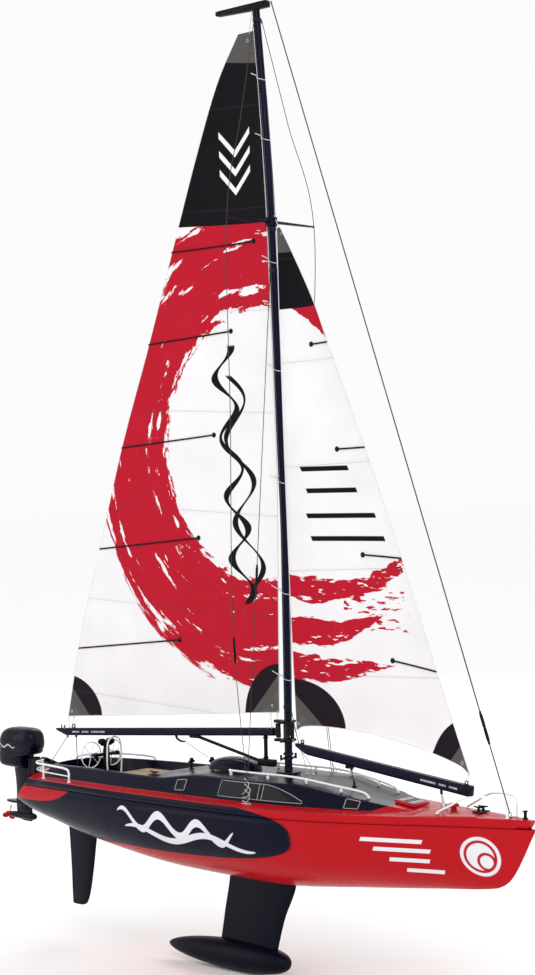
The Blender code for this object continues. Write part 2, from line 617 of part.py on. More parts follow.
def main_boom():
    """Boom with its pointed aft end, pivot barrel, and the vang built under its heel."""
    boom = bar_between("main_boom", BOOM_FWD, BOOM_AFT.lerp(BOOM_FWD, 0.055), 0.0045, 0.0053, NAVY)
    tip = BOOM_AFT.lerp(BOOM_FWD, 0.056)
    rings = [ring_at(tip, BOOM_AFT - BOOM_FWD, (0.0044, 0.0052), 8),
             ring_at(BOOM_AFT + Vector((0, 0, 0.0042)), BOOM_AFT - BOOM_FWD, (0.0018, 0.0012), 8)]
    boolean(boom, make("boom_tip", *loft(rings), NAVY))
    low, high = main_axis(0.1852), main_axis(0.2038)
    boolean(boom, rod("gooseneck_barrel", low, high, 0.0035, BLACK))
    tongue = bar_between("gooseneck_tongue", main_axis(0.1935), BOOM_FWD + Vector((-0.004, 0, 0)),
                         0.0028, 0.0042, BLACK)
    boolean(boom, tongue)
    place(boom, MAIN_AXIS_LOW)
    box("boom_vang", (-0.0520, -0.0045, 0.1465), (-0.0240, 0.0045, 0.1560), BLACK, 0.001)
    vang = bpy.data.objects["boom_vang"]
    boolean(vang, rod("vang_strut", (-0.040, 0, 0.1540), (-0.040, 0, 0.1900), 0.0028, BLACK, 10))
    boolean(vang, bar_between("vang_bar", (-0.048, 0, 0.1520), (-0.168, 0, 0.1780), 0.0022, 0.0018,
                              BLACK))
    trim = bar_between("vang_trim", BOOM_FWD + Vector((0.02, 0, 0)), BOOM_AFT, 0.0100, 0.0053 + GAP,
                       BLACK)
    boolean(vang, trim, "DIFFERENCE")
    place(vang, MAIN_AXIS_LOW)


def sail(name, luff, leech, look=CLOTH, thick=0.0008, belly=0.006, foot_rise=0.0):
    """A cambered sheet between luff and leech lines of (x, z) at matching heights, its foot arched up."""
    across = 6
    rows = len(luff)
    front, back = [], []
    for r in range(rows):
        (x0, z0), (x1, z1) = luff[r], leech[r]
        full = math.sin(math.pi * min(max(r / (rows - 1), 0.0), 1.0)) ** 0.5
        for c in range(across + 1):
            t = c / across
            y = belly * full * math.sin(math.pi * t ** 0.8)
            arch = foot_rise * max(0.0, 1 - r / 1.5) * max(math.sin(math.pi * t), 0.0) ** 0.5
            x, z = x0 + (x1 - x0) * t, z0 + (z1 - z0) * t + arch
            front.append((x, y - thick / 2, z))
            back.append((x, y + thick / 2, z))
    n = len(front)
    faces = []
    w = across + 1
    for r in range(rows - 1):
        for c in range(across):
            a, b = r * w + c, r * w + c + 1
            faces.append((a, b, b + w, a + w))
            faces.append((n + a, n + a + w, n + b + w, n + b))
    edge = [c for c in range(w)] + [r * w + across for r in range(1, rows)]
    edge += [(rows - 1) * w + c for c in range(across - 1, -1, -1)]
    edge += [r * w for r in range(rows - 2, 0, -1)]
    for a, b in zip(edge, edge[1:] + edge[:1]):
        faces.append((a, n + a, n + b, b))
    return make(name, front + back, faces, look)


def mainsail():
    """Foot on the boom, luff behind the mast, full roach on the leech."""
    leech = [(-0.430, 0.188), (-0.405, 0.286), (-0.356, 0.428), (-0.306, 0.569), (-0.247, 0.709),
             (-0.198, 0.831), (-0.150, 0.950), (-0.104, 1.050), (-0.0660, 1.105)]
    clew_z, head_z = leech[0][1], leech[-1][1]
    luff = []
    for k, (_, z) in enumerate(leech):
        share = k / (len(leech) - 1)
        level = TACK_Z + (head_z - TACK_Z) * (z - clew_z) / (head_z - clew_z)
        luff.append((min(mast_x(level) - LUFF_GAP, -0.0125) - 0.002 * (1 - share), level))
    sheet = sail("mainsail", luff, leech)
    return place(sheet, MAIN_AXIS_LOW)


def jib():
    """Club boom on a swivel, and the jib above it."""
    half_y, half_z = JIB_BOOM_HALF
    boom = bar_between("jib_boom", JIB_BOOM_AFT.lerp(JIB_BOOM_FWD, 0.07), JIB_BOOM_FWD, half_y, half_z,
                       NAVY)
    aft = [ring_at(JIB_BOOM_AFT.lerp(JIB_BOOM_FWD, 0.075), JIB_BOOM_FWD - JIB_BOOM_AFT,
                   (half_y - 0.0001, half_z - 0.0001), 8),
           ring_at(JIB_BOOM_AFT + Vector((0, 0, 0.0038)), JIB_BOOM_FWD - JIB_BOOM_AFT,
                   (0.0018, 0.0015), 8)]
    boolean(boom, make("jib_boom_tail", *loft(aft), NAVY))
    boolean(boom, rod("jib_pivot_eye", (0.2510, 0, 0.1350), (0.2512, 0, 0.1460), 0.0028, NAVY))
    place(boom, JIB_AXIS_LOW)
    swivel = turned("jib_swivel", (0.2560, 0, 0.1200), (0.2520, 0, 0.1342),
                    [(0.0, 0.0042), (0.25, 0.0042), (0.30, 0.0016), (1.0, 0.0016)], STEEL, 12)
    place(swivel, JIB_AXIS_LOW)
    leech = [(0.0160, 0.197), (0.0125, 0.300), (0.0088, 0.428), (0.0050, 0.562), (0.0022, 0.697),
             (0.0010, 0.741), (-0.0002, 0.811), (-0.0010, 0.844)]
    luff = [(0.2956, 0.1617), (0.2482, 0.2822), (0.1967, 0.4183), (0.1404, 0.5571), (0.0804, 0.6941),
            (0.0611, 0.7398), (0.0231, 0.8108), (0.0030, 0.8450)]
    sheet = sail("jib_sail", luff, leech, belly=0.008, foot_rise=JIB_FOOT_RISE)
    place(sheet, JIB_AXIS_LOW)


def stays():
    """Standing rigging: one wire each, ending just short of its fittings."""
    head = Vector((-0.0055, 0, MAST_TOP_Z + 0.0060))
    tube("forestay", [head, Vector((0.3535, 0, 0.1215))], 0.0006, WIRE)
    cap_sway = {"starboard": (0.0890, 0.0960), "port": (0.0640, 0.0620)}
    for side, sign in (("starboard", -1), ("port", 1)):
        plate = Vector((CHAINPLATE.x, sign * CHAINPLATE.y, CHAINPLATE.z))
        tip = Vector((mast_x(SPREADER_Z), sign * (SPREADER_SPAN + 0.0012), SPREADER_Z))
        mast_head = Vector((-0.0295, sign * 0.0065, 1.1200))
        upper, lower = cap_sway[side]
        cap = [mast_head, mast_head.lerp(tip, 0.5), tip, (-0.0060, sign * upper, 0.600),
               (-0.0010, sign * lower, 0.330), plate]
        tube(f"cap_shroud_{side}", catmull(cap, 3), 0.0005, WIRE)
        low_top = Vector((mast_x(0.790), sign * (MAST_R + 0.0012), 0.790))
        tube(f"lower_shroud_{side}", [low_top, plate + Vector((-0.004, 0, 0))], 0.0005, WIRE)


def sheets():
    """Running rigging that the winch hauls, and the posts that lead it."""
    tube("mainsheet", [(-0.4140, 0, 0.1608), (-0.4130, 0, 0.1350), (-0.4120, 0, 0.1094)], 0.0006, WIRE)
    tube("sheet_tail", [(-0.4330, 0, 0.1592), (-0.4445, -0.0100, 0.1360), (-0.4560, -0.0200, 0.1128)],
         0.0005, WIRE)
    tube("jib_sheet", [(0.1080, 0, 0.1568), (0.1100, 0, 0.1460), (0.1120, 0, 0.1355)], 0.0006, WIRE)
    for k, x in enumerate((-0.179, -0.140)):
        base = sheer(x) + raised_height(x) + 0.0015 + GAP + 0.0003
        post = turned(f"sheet_post_{('aft', 'fwd')[k]}", (x, 0, base), (x, 0, base + 0.0160),
                      [(0.0, 0.0040), (0.12, 0.0040), (0.16, 0.0016), (0.75, 0.0016), (0.80, 0.0028),
                       (1.0, 0.0028)], BLACK, 10)
        boolean(post, rod(f"post_arm_{k}", (x, -0.0050, base + 0.011), (x, 0.0050, base + 0.011),
                          0.0010, BLACK, 8))


def outboard():
    """Clamp bracket on the transom, a tilting swivel, the steered leg, its cowl and the propeller."""
    hinge_x, hinge_z = MOTOR_HINGE.x, MOTOR_HINGE.z
    bracket = extrude_xz("outboard_bracket", [(-0.4560, 0.1125), (-0.4560, 0.1165), (-0.4900, 0.1235),
                                             (-0.5010, 0.1235), (-0.5010, 0.0985), (-0.4980, 0.0985),
                                             (-0.4900, 0.1125)], 0.0100, BLACK, 0.0008)
    stern_clear = [hull_ring(xs, inset=-0.0012) for xs in (-0.462, -0.440, -0.415, -0.390)]
    boolean(bracket, make("bracket_clear", *loft(stern_clear), BLACK), "DIFFERENCE")
    swivel = box("outboard_swivel", (-0.5095, -0.0062, 0.0990), (-0.5022, 0.0062, 0.1240), BLACK, 0.0010)
    place(swivel, (hinge_x, 0, hinge_z))
    leg = extrude_xz("outboard_leg", [(-0.5165, 0.1245), (-0.5165, 0.0900), (-0.5155, 0.0480),
                                      (-0.5060, 0.0400), (-0.5060, 0.0330), (-0.5150, 0.0285),
                                      (-0.5620, 0.0340), (-0.5620, 0.0390), (-0.5490, 0.0430),
                                      (-0.5500, 0.0530), (-0.5690, 0.0552), (-0.5690, 0.0580),
                                      (-0.5480, 0.0650), (-0.5490, 0.0900), (-0.5520, 0.1065),
                                      (-0.5205, 0.1065), (-0.5205, 0.1245)],
                     0.0055, NAVY, 0.0012)
    boolean(leg, rod("leg_steering_tube", (MOTOR_X, 0, 0.0960), (MOTOR_X, 0, 0.1240), 0.0050, NAVY, 16))
    place(leg, (MOTOR_X, 0, 0.0900))
    cowl_rings = []
    outline = [(0.1068, -0.5560, -0.5215, 0.0095), (0.1115, -0.5715, -0.5210, 0.0165),
               (0.1248, -0.5750, -0.5208, 0.0188), (0.1258, -0.5750, -0.5130, 0.0190),
               (0.1295, -0.5750, -0.5015, 0.0192), (0.1440, -0.5745, -0.4960, 0.0195),
               (0.1555, -0.5700, -0.4975, 0.0185), (0.1620, -0.5610, -0.5025, 0.0150),
               (0.1660, -0.5490, -0.5120, 0.0085)]
    for z, tail, nose, half in outline:
        centre, half_x = (tail + nose) / 2, (nose - tail) / 2
        turn = [2 * math.pi * i / 16 for i in range(16)]
        cowl_rings.append([(centre + half_x * math.copysign(abs(math.cos(a)) ** 0.6, math.cos(a)),
                            half * math.copysign(abs(math.sin(a)) ** 0.6, math.sin(a)), z) for a in turn])
    cowl = make("outboard_cowl", *loft(cowl_rings), NAVY)
    place(cowl, (MOTOR_X, 0, 0.1250))
    propeller()


def propeller():
    hub = turned("propeller", (-0.5626, 0, 0.0362), (-0.5760, 0, 0.0362),
                 [(0.0, 0.0036), (0.55, 0.0036), (0.85, 0.0024), (1.0, 0.0008)], PROP, 12)
    for k in range(3):
        angle = 2 * math.pi * k / 3 + 0.35
        out = Vector((0, math.sin(angle), math.cos(angle)))
        across = Vector((1, 0, 0)).cross(out)
        rings = []
        for reach, half, pitch in ((0.0022, 0.0022, 1.0), (0.0070, 0.0042, 0.8), (0.0125, 0.0030, 0.6)):
            chord = across * math.cos(pitch) + Vector((1, 0, 0)) * math.sin(pitch)
            thick = chord.cross(out) * 0.0005
            centre = Vector((-0.5665, 0, 0.0362)) + out * reach
            rings.append([centre + chord * half + thick, centre - chord * half + thick,
                          centre - chord * half - thick, centre + chord * half - thick])
        boolean(hub, make(f"blade_{k}", *loft(rings), PROP))
    place(hub, (-0.5665, 0, 0.0362))


def helm_wheel(name, sign):
    """A spoked wheel on a hub, turning about the fore-and-aft axis."""
    centre = Vector((WHEEL_X, sign * WHEEL_Y, WHEEL_Z))
    major, minor, around, sides = WHEEL_R - 0.0010, 0.0009, 24, 5
    verts, faces = [], []
    for i in range(around):
        a = 2 * math.pi * i / around
        radial = Vector((0, math.cos(a), math.sin(a)))
        for j in range(sides):
            b = 2 * math.pi * j / sides
            verts.append(centre + radial * (major + minor * math.cos(b))
                         + Vector((minor * math.sin(b), 0, 0)))
    for i in range(around):
        for j in range(sides):
            ni, nj = (i + 1) % around, (j + 1) % sides
            faces.append((i * sides + j, ni * sides + j, ni * sides + nj, i * sides + nj))
    wheel = make(name, verts, faces, WHITE)
    for k in range(3):
        a = math.pi * k / 3 + 0.25
        reach = Vector((0, math.cos(a), math.sin(a))) * (major)
        spoke = rod(f"{name}_spoke_{k}", centre - reach, centre + reach, 0.0006, WHITE, 6)
        boolean(wheel, spoke)
    boolean(wheel, rod(f"{name}_hub", centre - Vector((0.0015, 0, 0)), centre + Vector((0.0015, 0, 0)),
                       0.0030, WHITE))
    return place(wheel, centre)


def helm():
    """Pedestal that carries both wheels and two instrument pods, with its tubular guard."""
    floor = 0.1092
    x = WHEEL_X + 0.010
    post = turned("helm_pedestal", (x, 0, floor), (x, 0, 0.1560),
                  [(0.0, 0.0100), (0.08, 0.0100), (0.16, 0.0055), (1.0, 0.0040)], BLACK, 12)
    boolean(post, rod("helm_crossbar", (x, -WHEEL_Y, WHEEL_Z), (x, WHEEL_Y, WHEEL_Z), 0.0024, BLACK, 8))
    for sign in (-1, 1):
        y = sign * WHEEL_Y
        boolean(post, rod(f"helm_stub_{sign}", (x, y, WHEEL_Z), (WHEEL_X + 0.0018, y, WHEEL_Z), 0.0018,
                          BLACK, 8))
        pod = dome(f"helm_pod_{sign}", x - 0.006, x + 0.006, 0.0052, 0.0, 0.0090, BLACK, along=5,
                   around=6)
        pod.location = (0, sign * 0.0078, 0.1530)
        boolean(post, pod)
    boolean(post, rod("helm_pod_bar", (x, -0.0085, 0.1540), (x, 0.0085, 0.1540), 0.0022, BLACK, 8))
    x += 0.0160
    guard = [(x, -0.0120, floor + 0.0004), (x, -0.0135, 0.1300), (x, -0.0120, 0.1560), (x, -0.0050, 0.1640),
             (x, 0.0050, 0.1640), (x, 0.0120, 0.1560), (x, 0.0135, 0.1300), (x, 0.0120, floor + 0.0004)]
    tube("helm_guard", catmull(guard, 3), 0.0012, WHITE)
    for side, sign in (("starboard", -1), ("port", 1)):
        helm_wheel(f"helm_wheel_{side}", sign)


def rail(name, path, posts, radius, look=WHITE):
    """A bent tube rail with upright posts joined to it."""
    bar = tube_mesh(name, catmull(path, 3), radius, look, 6)
    for k, (foot, head) in enumerate(posts):
        boolean(bar, rod(f"{name}_post_{k}", foot, head, radius * 0.9, look, 6))
    return bar


def plain_deck_z(x, y):
    """Height of the crowned foredeck or stern deck."""
    b = half_beam(x)
    return sheer(x) + 0.004 * min(1.0, b / 0.03) * (1 - (y / b) ** 2)


def roof_z(x, y):
    """Height of the cabin roof above a point near the centre."""
    top = side_point(x, 1.0)[0]
    return sheer(x) + raised_height(x) + 0.0015 * (1 - min(abs(y) / top, 1.0))


def rails():
    for side, sign in (("starboard", -1), ("port", 1)):
        def at(x, y, z, sign=sign):
            return Vector((x, sign * y, z))

        grab = []
        for x, y in ((-0.062, 0.0450), (-0.020, 0.0455), (0.050, 0.0440), (0.110, 0.0380), (0.150, 0.0300)):
            grab.append(at(x, y, roof_z(x, y) + 0.0062))
        grab.append(at(0.160, 0.0280, roof_z(0.160, 0.028) + 0.0025))
        posts = []
        for x, y in ((-0.060, 0.0450), (0.006, 0.0454), (0.070, 0.0425), (0.122, 0.0358)):
            z = roof_z(x, y)
            posts.append((at(x, y, z + 0.0006), at(x, y, z + 0.0060)))
        rail(f"handrail_{side}", grab, posts, 0.0014)
        foot_aft, foot_fwd = plain_deck_z(0.268, 0.029), plain_deck_z(0.3570, 0.0095)
        bow = [at(0.2680, 0.0290, foot_aft + 0.0020), at(0.2850, 0.0275, 0.1270),
               at(0.3030, 0.0250, 0.1365), at(0.3180, 0.0215, 0.1395), at(0.3400, 0.0160, 0.1405),
               at(0.3540, 0.0120, 0.1370), at(0.3570, 0.0095, foot_fwd + 0.0016)]
        rail(f"pulpit_{side}", bow, [], 0.0013)
        top = sheer(-0.40) + 0.0200
        stern = [at(-0.337, 0.0820, sheer(-0.337) + 0.0016), at(-0.337, 0.0820, top - 0.0055),
                 at(-0.346, 0.0810, top), at(-0.395, 0.0740, top + 0.0010),
                 at(-0.425, 0.0640, top), at(-0.446, 0.0450, top - 0.0010),
                 at(-0.4505, 0.0320, top - 0.0045), at(-0.4510, 0.0300, 0.1128)]
        posts = [(at(-0.402, 0.0722, 0.1098), at(-0.402, 0.0722, top))]
        rail(f"pushpit_{side}", stern, posts, 0.0015)


def deck_fittings():
    foot = plain_deck_z(0.376, 0) + GAP
    turned("bow_bollard", (0.3760, 0, foot), (0.3760, 0, foot + 0.0100),
           [(0.0, 0.0034), (0.10, 0.0034), (0.14, 0.0020), (0.80, 0.0020), (0.84, 0.0034), (1.0, 0.0034)],
           BLACK, 12)
    base = plain_deck_z(0.2700, 0) + GAP
    turned("foredeck_vent", (0.2700, 0, base), (0.2700, 0, base + 0.0085),
           [(0.0, 0.0042), (0.45, 0.0036), (0.50, 0.0070), (0.75, 0.0064), (1.0, 0.0020)], RED, 14)
    base = plain_deck_z(0.311, 0) + GAP
    cleat = box("mooring_cleat", (0.3040, -0.0090, base), (0.3180, 0.0090, base + 0.0018), BLACK, 0.0005)
    for k, y in enumerate((-0.0045, 0.0045)):
        boolean(cleat, rod(f"cleat_post_{k}", (0.311, y, base + 0.001), (0.311, y, base + 0.0060), 0.0017,
                           BLACK, 8))
        boolean(cleat, rod(f"cleat_horn_{k}", (0.304, y, base + 0.0062), (0.318, y, base + 0.0062), 0.0012,
                           BLACK, 8))


def main():
    clear_scene()
    hull_shell()
    deck_moulding()
    for side, sign in (("starboard", -1), ("port", 1)):
        cabin_window(f"window_{side}", sign)
    cockpit_hatch()
    dome("companion_hood", -0.135, -0.057, 0.0270, ROOF_TOP_Z + GAP + 0.0004, 0.0150, NAVY)
    foredeck_hatch()
    keel()
    rudder()
    radio_gear()
    mast()
    spreaders()
    gooseneck()
    main_boom()
    mainsail()
    jib()
    stays()
    sheets()
    outboard()
    helm()
    rails()
    deck_fittings()


main()
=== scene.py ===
import math

import bmesh
import bpy
from mathutils import Matrix, Vector


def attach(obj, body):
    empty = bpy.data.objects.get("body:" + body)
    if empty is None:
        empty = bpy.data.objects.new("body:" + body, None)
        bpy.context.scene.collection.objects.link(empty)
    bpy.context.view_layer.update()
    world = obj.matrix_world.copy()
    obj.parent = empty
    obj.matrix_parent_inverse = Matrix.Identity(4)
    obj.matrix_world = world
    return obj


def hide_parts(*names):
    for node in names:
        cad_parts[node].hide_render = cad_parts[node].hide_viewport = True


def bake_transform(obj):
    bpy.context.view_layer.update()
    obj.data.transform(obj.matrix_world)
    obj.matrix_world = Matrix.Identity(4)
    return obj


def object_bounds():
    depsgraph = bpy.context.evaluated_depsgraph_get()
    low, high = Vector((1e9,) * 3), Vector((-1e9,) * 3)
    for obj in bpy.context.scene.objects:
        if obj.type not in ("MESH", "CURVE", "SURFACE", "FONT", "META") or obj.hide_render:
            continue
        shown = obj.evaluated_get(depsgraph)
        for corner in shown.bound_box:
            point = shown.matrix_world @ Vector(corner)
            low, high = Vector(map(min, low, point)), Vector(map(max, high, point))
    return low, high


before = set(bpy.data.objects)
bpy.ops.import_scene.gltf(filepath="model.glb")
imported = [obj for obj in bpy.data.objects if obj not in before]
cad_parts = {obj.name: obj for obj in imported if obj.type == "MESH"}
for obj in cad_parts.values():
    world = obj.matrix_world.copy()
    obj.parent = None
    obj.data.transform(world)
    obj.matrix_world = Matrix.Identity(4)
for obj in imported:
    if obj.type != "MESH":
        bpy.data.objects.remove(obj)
cad_low, cad_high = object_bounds()
scene = bpy.context.scene

# ---------------------------------------------------------------- camera, light, floor
YAW, PITCH, ROLL = math.radians(43.53), math.radians(0.143), math.radians(1.09)
EYE = Vector((1.82432, -1.95006, 0.50264))
LENS, SENSOR = 76.41, 36.0


def photo_camera():
    ahead = Vector((-math.sin(YAW) * math.cos(PITCH), math.cos(YAW) * math.cos(PITCH), math.sin(PITCH)))
    right = Vector((math.cos(YAW), math.sin(YAW), 0))
    down = ahead.cross(right)
    c, s = math.cos(ROLL), math.sin(ROLL)
    right, down = right * c + down * s, down * c - right * s
    turn = Matrix((right, -down, -ahead)).transposed().to_4x4()
    data = bpy.data.cameras.new("photo_view")
    data.lens, data.sensor_width, data.sensor_fit = LENS, SENSOR, "AUTO"
    data.clip_start, data.clip_end = 0.05, 200
    ob = bpy.data.objects.new("photo_view", data)
    ob.matrix_world = Matrix.Translation(EYE) @ turn
    scene.collection.objects.link(ob)
    scene.camera = ob


def area_light(name, where, towards, size, power):
    data = bpy.data.lights.new(name, "AREA")
    data.shape, data.size, data.size_y = "RECTANGLE", size[0], size[1]
    data.energy = power
    ob = bpy.data.objects.new(name, data)
    ob.location = where
    ob.rotation_euler = (Vector(towards) - Vector(where)).to_track_quat("-Z", "Y").to_euler()
    scene.collection.objects.link(ob)


def studio():
    world = bpy.data.worlds.new("studio")
    world.use_nodes = True
    world.node_tree.nodes["Background"].inputs["Color"].default_value = (1, 1, 1, 1)
    world.node_tree.nodes["Background"].inputs["Strength"].default_value = 0.97
    scene.world = world
    scene.view_settings.view_transform = "Standard"
    middle = (0, 0, 0.4)
    area_light("key", (2.6, -2.2, 2.6), middle, (1.8, 1.8), 38)
    area_light("fill", (-2.4, -2.6, 1.2), middle, (1.6, 2.2), 14)
    area_light("rim", (-1.5, 2.6, 2.2), middle, (2.0, 1.4), 22)
    mesh = bpy.data.meshes.new("floor")
    reach, level = 60.0, cad_low.z - 0.0005
    mesh.from_pydata([(-reach, -reach, level), (reach, -reach, level), (reach, reach, level),
                      (-reach, reach, level)], [], [(0, 1, 2, 3)])
    floor = bpy.data.objects.new("floor", mesh)
    scene.collection.objects.link(floor)
    look = Graph("studio_floor", None, {"Base Color": (0.985, 0.985, 0.985), "Roughness": 0.9,
                                        "Specular IOR Level": 0.0})
    mesh.materials.append(look.material)


# ---------------------------------------------------------------- materials
class Graph:
    """A procedural material; its coordinates are the part's own, in metres."""

    def __init__(self, name, slot, settings):
        self.material = bpy.data.materials.new(name)
        self.material.use_nodes = True
        self.slot = slot
        self.tree = self.material.node_tree
        self.shader = self.tree.nodes["Principled BSDF"]
        for key, value in settings.items():
            self.set(key, value)
        self.where = self.node("ShaderNodeTexCoord").outputs["Object"]
        split = self.node("ShaderNodeSeparateXYZ", {0: self.where})
        self.x, self.y, self.z = split.outputs
        self.material["slot"] = slot or ""

    def node(self, kind, inputs=None, **props):
        made = self.tree.nodes.new(kind)
        for key, value in props.items():
            setattr(made, key, value)
        for key, value in (inputs or {}).items():
            self.feed(made.inputs[key], value)
        return made

    def feed(self, socket, value):
        if isinstance(value, bpy.types.NodeSocket):
            self.tree.links.new(value, socket)
        elif isinstance(value, tuple) and socket.type == "RGBA":
            socket.default_value = (*value[:3], 1.0)
        else:
            socket.default_value = value

    def set(self, key, value):
        self.feed(self.shader.inputs[key], value)

    def m(self, operation, a, b=0.0, c=0.0):
        return self.node("ShaderNodeMath", {0: a, 1: b, 2: c}, operation=operation).outputs[0]

    def step(self, value, low, high):
        """0 below low and 1 above high, smooth between; low may be the larger one."""
        made = self.node("ShaderNodeMapRange", {0: value, 1: low, 2: high, 3: 0.0, 4: 1.0},
                         interpolation_type="SMOOTHSTEP")
        return made.outputs[0]

    def both(self, *masks):
        out = masks[0]
        for mask in masks[1:]:
            out = self.m("MULTIPLY", out, mask)
        return out

    def either(self, *masks):
        out = masks[0]
        for mask in masks[1:]:
            out = self.m("MAXIMUM", out, mask)
        return out

    def no(self, mask):
        return self.m("SUBTRACT", 1.0, mask)

    def noise(self, scale, detail=2.0, stretch=(1, 1, 1), distortion=0.0):
        vector = self.node("ShaderNodeMapping", {"Vector": self.where, "Scale": stretch})
        made = self.node("ShaderNodeTexNoise", {"Vector": vector.outputs[0], "Scale": scale,
                                                "Detail": detail,
                                                "Distortion": distortion})
        return made.outputs["Fac"]

    def mix(self, factor, a, b):
        made = self.node("ShaderNodeMix", data_type="RGBA")
        colours = [s for s in made.inputs if s.type == "RGBA"]
        self.feed(made.inputs[0], factor)
        self.feed(colours[0], a)
        self.feed(colours[1], b)
        return [s for s in made.outputs if s.type == "RGBA"][0]

    def shade(self, colour, value, depth):
        """The colour, darker or lighter by depth where value leaves one half."""
        made = self.node("ShaderNodeHueSaturation", {"Color": colour})
        self.feed(made.inputs["Value"], self.m("MULTIPLY_ADD", self.m("SUBTRACT", value, 0.5), 2 * depth,
                                               1.0))
        return made.outputs[0]

    def bump(self, height, depth, strength=1.0):
        made = self.node("ShaderNodeBump", {"Height": height, "Distance": depth, "Strength": strength})
        return made.outputs[0]

    def flat(self, colour):
        """One colour as a socket."""
        return self.mix(0.0, colour, colour)

    def gap(self, a, b):
        """How far apart two values are."""
        return self.m("ABSOLUTE", self.m("SUBTRACT", a, b))

    def far(self, x, z):
        """Distance from (x, z) in the side view, with its two parts."""
        dx, dz = self.m("SUBTRACT", self.x, x), self.m("SUBTRACT", self.z, z)
        return self.m("SQRT", self.m("ADD", self.m("MULTIPLY", dx, dx), self.m("MULTIPLY", dz, dz))), dx, dz

    def ring(self, x, z, low, high, soft=0.0008):
        """1 where the distance from (x, z) in the side view lies between low and high."""
        far = self.far(x, z)[0]
        return self.both(self.step(far, low - soft, low + soft), self.step(far, high + soft, high - soft))

    def patch(self, x0, x1, z0, z1, soft=0.0004):
        return self.both(self.step(self.x, x0 - soft, x0 + soft), self.step(self.x, x1 + soft, x1 - soft),
                         self.step(self.z, z0 - soft, z0 + soft), self.step(self.z, z1 + soft, z1 - soft))


RED, NAVY, WHITE_PAINT = (0.43, 0.0055, 0.0105), (0.0018, 0.0022, 0.0125), (0.7, 0.72, 0.76)


def painted(name, slot, colour, rough=0.24, coat=0.05, orange_peel=0.00002):
    """Glossy sprayed paint: a clear coat over a faintly mottled base, dulled in fine patches."""
    g = Graph(name, slot, {"Roughness": rough, "Specular IOR Level": 0.07, "Coat Weight": coat})
    g.set("Base Color", g.shade(g.flat(colour), g.noise(9, 4), 0.1))
    handled = g.step(g.noise(38, 5), 0.48, 0.75)
    g.set("Roughness", g.m("MULTIPLY_ADD", handled, 0.1, rough))
    g.set("Coat Roughness", g.m("MULTIPLY_ADD", handled, 0.05, 0.03))
    peel = g.bump(g.noise(420, 1), orange_peel)
    g.set("Normal", peel)
    g.set("Coat Normal", peel)
    return g


def navy_shape(g, stern_cut):
    """The long rounded navy flash along each side, open aft, its forward end abreast of the cabin."""
    run = g.m("ADD", g.x, 0.16)
    ahead = g.m("DIVIDE", g.m("MAXIMUM", run, 0.0), 0.25)
    astern = g.m("DIVIDE", g.m("MAXIMUM", g.m("MULTIPLY", run, -1.0), 0.0), 0.42)
    rise = g.m("DIVIDE", g.gap(g.z, 0.077), 0.04)
    total = g.m("ADD", g.m("ADD", g.m("POWER", ahead, 2.2), g.m("POWER", astern, 2.8)),
                g.m("POWER", rise, 2.8))
    shape = g.step(total, 1.03, 0.97)
    if stern_cut:
        edge = g.m("MULTIPLY_ADD", g.m("EXPONENT", g.m("DIVIDE", g.m("ADD", g.x, 0.32), 0.035)), 0.03, 0.076)
        shape = g.both(shape, g.step(g.m("SUBTRACT", edge, g.z), -0.0006, 0.0006))
    return shape


def brush_wave(g, x0, x1, level, swing, wave, width, slope=0.0):
    """A tapered brush stroke that swings up and down between x0 and x1 in the side view."""
    run = g.m("DIVIDE", g.m("SUBTRACT", g.x, x0), x1 - x0)
    taper = g.m("POWER", g.m("MAXIMUM", g.m("MULTIPLY", g.m("MULTIPLY", run, g.m("SUBTRACT", 1.0, run)),
                                            4.0),
                             0.0), 0.45)
    line = g.m("MULTIPLY_ADD", g.m("SINE", g.m("MULTIPLY_ADD", run, wave, 0.6)), swing, level)
    line = g.m("MULTIPLY_ADD", run, slope, line)
    off = g.gap(g.z, line)
    half = g.m("MULTIPLY", taper, width)
    return g.both(g.step(g.m("SUBTRACT", half, off), -0.0003, 0.0003), g.step(run, 0.0, 0.004),
                  g.step(run, 1.0, 0.996))


def slanted_bar(g, start, end, level, half, lean):
    """A plain bar from start to end at a height, its ends leaning."""
    slant, soft = g.m("MULTIPLY_ADD", g.m("SUBTRACT", g.z, level), lean, g.x), 0.0004
    return g.both(g.step(slant, start - soft, start + soft), g.step(slant, end + soft, end - soft),
                  g.step(g.gap(g.z, level), half + 0.0003, half - 0.0003))


def hull_paint():
    g = painted("hull_gelcoat", "red_gelcoat", RED)
    navy = navy_shape(g, True)
    colour = g.mix(navy, g.flat(RED), NAVY)
    marks = g.either(brush_wave(g, -0.218, 0.0, 0.079, 0.0115, 19.0, 0.0056, -0.01),
                     brush_wave(g, -0.205, 0.03, 0.062, 0.007, 11.0, 0.0042, -0.002))
    for start, end, level in ((0.182, 0.2565, 0.0838), (0.196, 0.2645, 0.0725), (0.2126, 0.261, 0.06),
                              (0.229, 0.275, 0.047)):
        marks = g.either(marks, slanted_bar(g, start, end, level, 0.0025, -0.5))
    disc = g.both(g.ring(0.3243, 0.07, -1.0, 0.0165), g.no(g.ring(0.331, 0.064, 0.008, 0.0115)))
    marks = g.either(marks, g.ring(0.3243, 0.07, 0.02, 0.024), disc)
    colour = g.mix(marks, colour, WHITE_PAINT)
    # Darker red in noisy patches towards the bottom of the hull, fading in below 45 mm up and full below 8
    # mm.
    low = g.step(g.z, 0.045, 0.008)
    colour = g.mix(g.both(low, g.step(g.noise(60, 5), 0.52, 0.8)), colour, (0.24, 0.012, 0.016))
    g.set("Base Color", g.shade(colour, g.noise(9, 4), 0.08))
    return g


def strake_paint():
    g = painted("strake_paint", "navy_gloss", NAVY)
    g.set("Base Color", g.shade(g.mix(navy_shape(g, False), g.flat(RED), NAVY), g.noise(9, 4), 0.1))
    return g


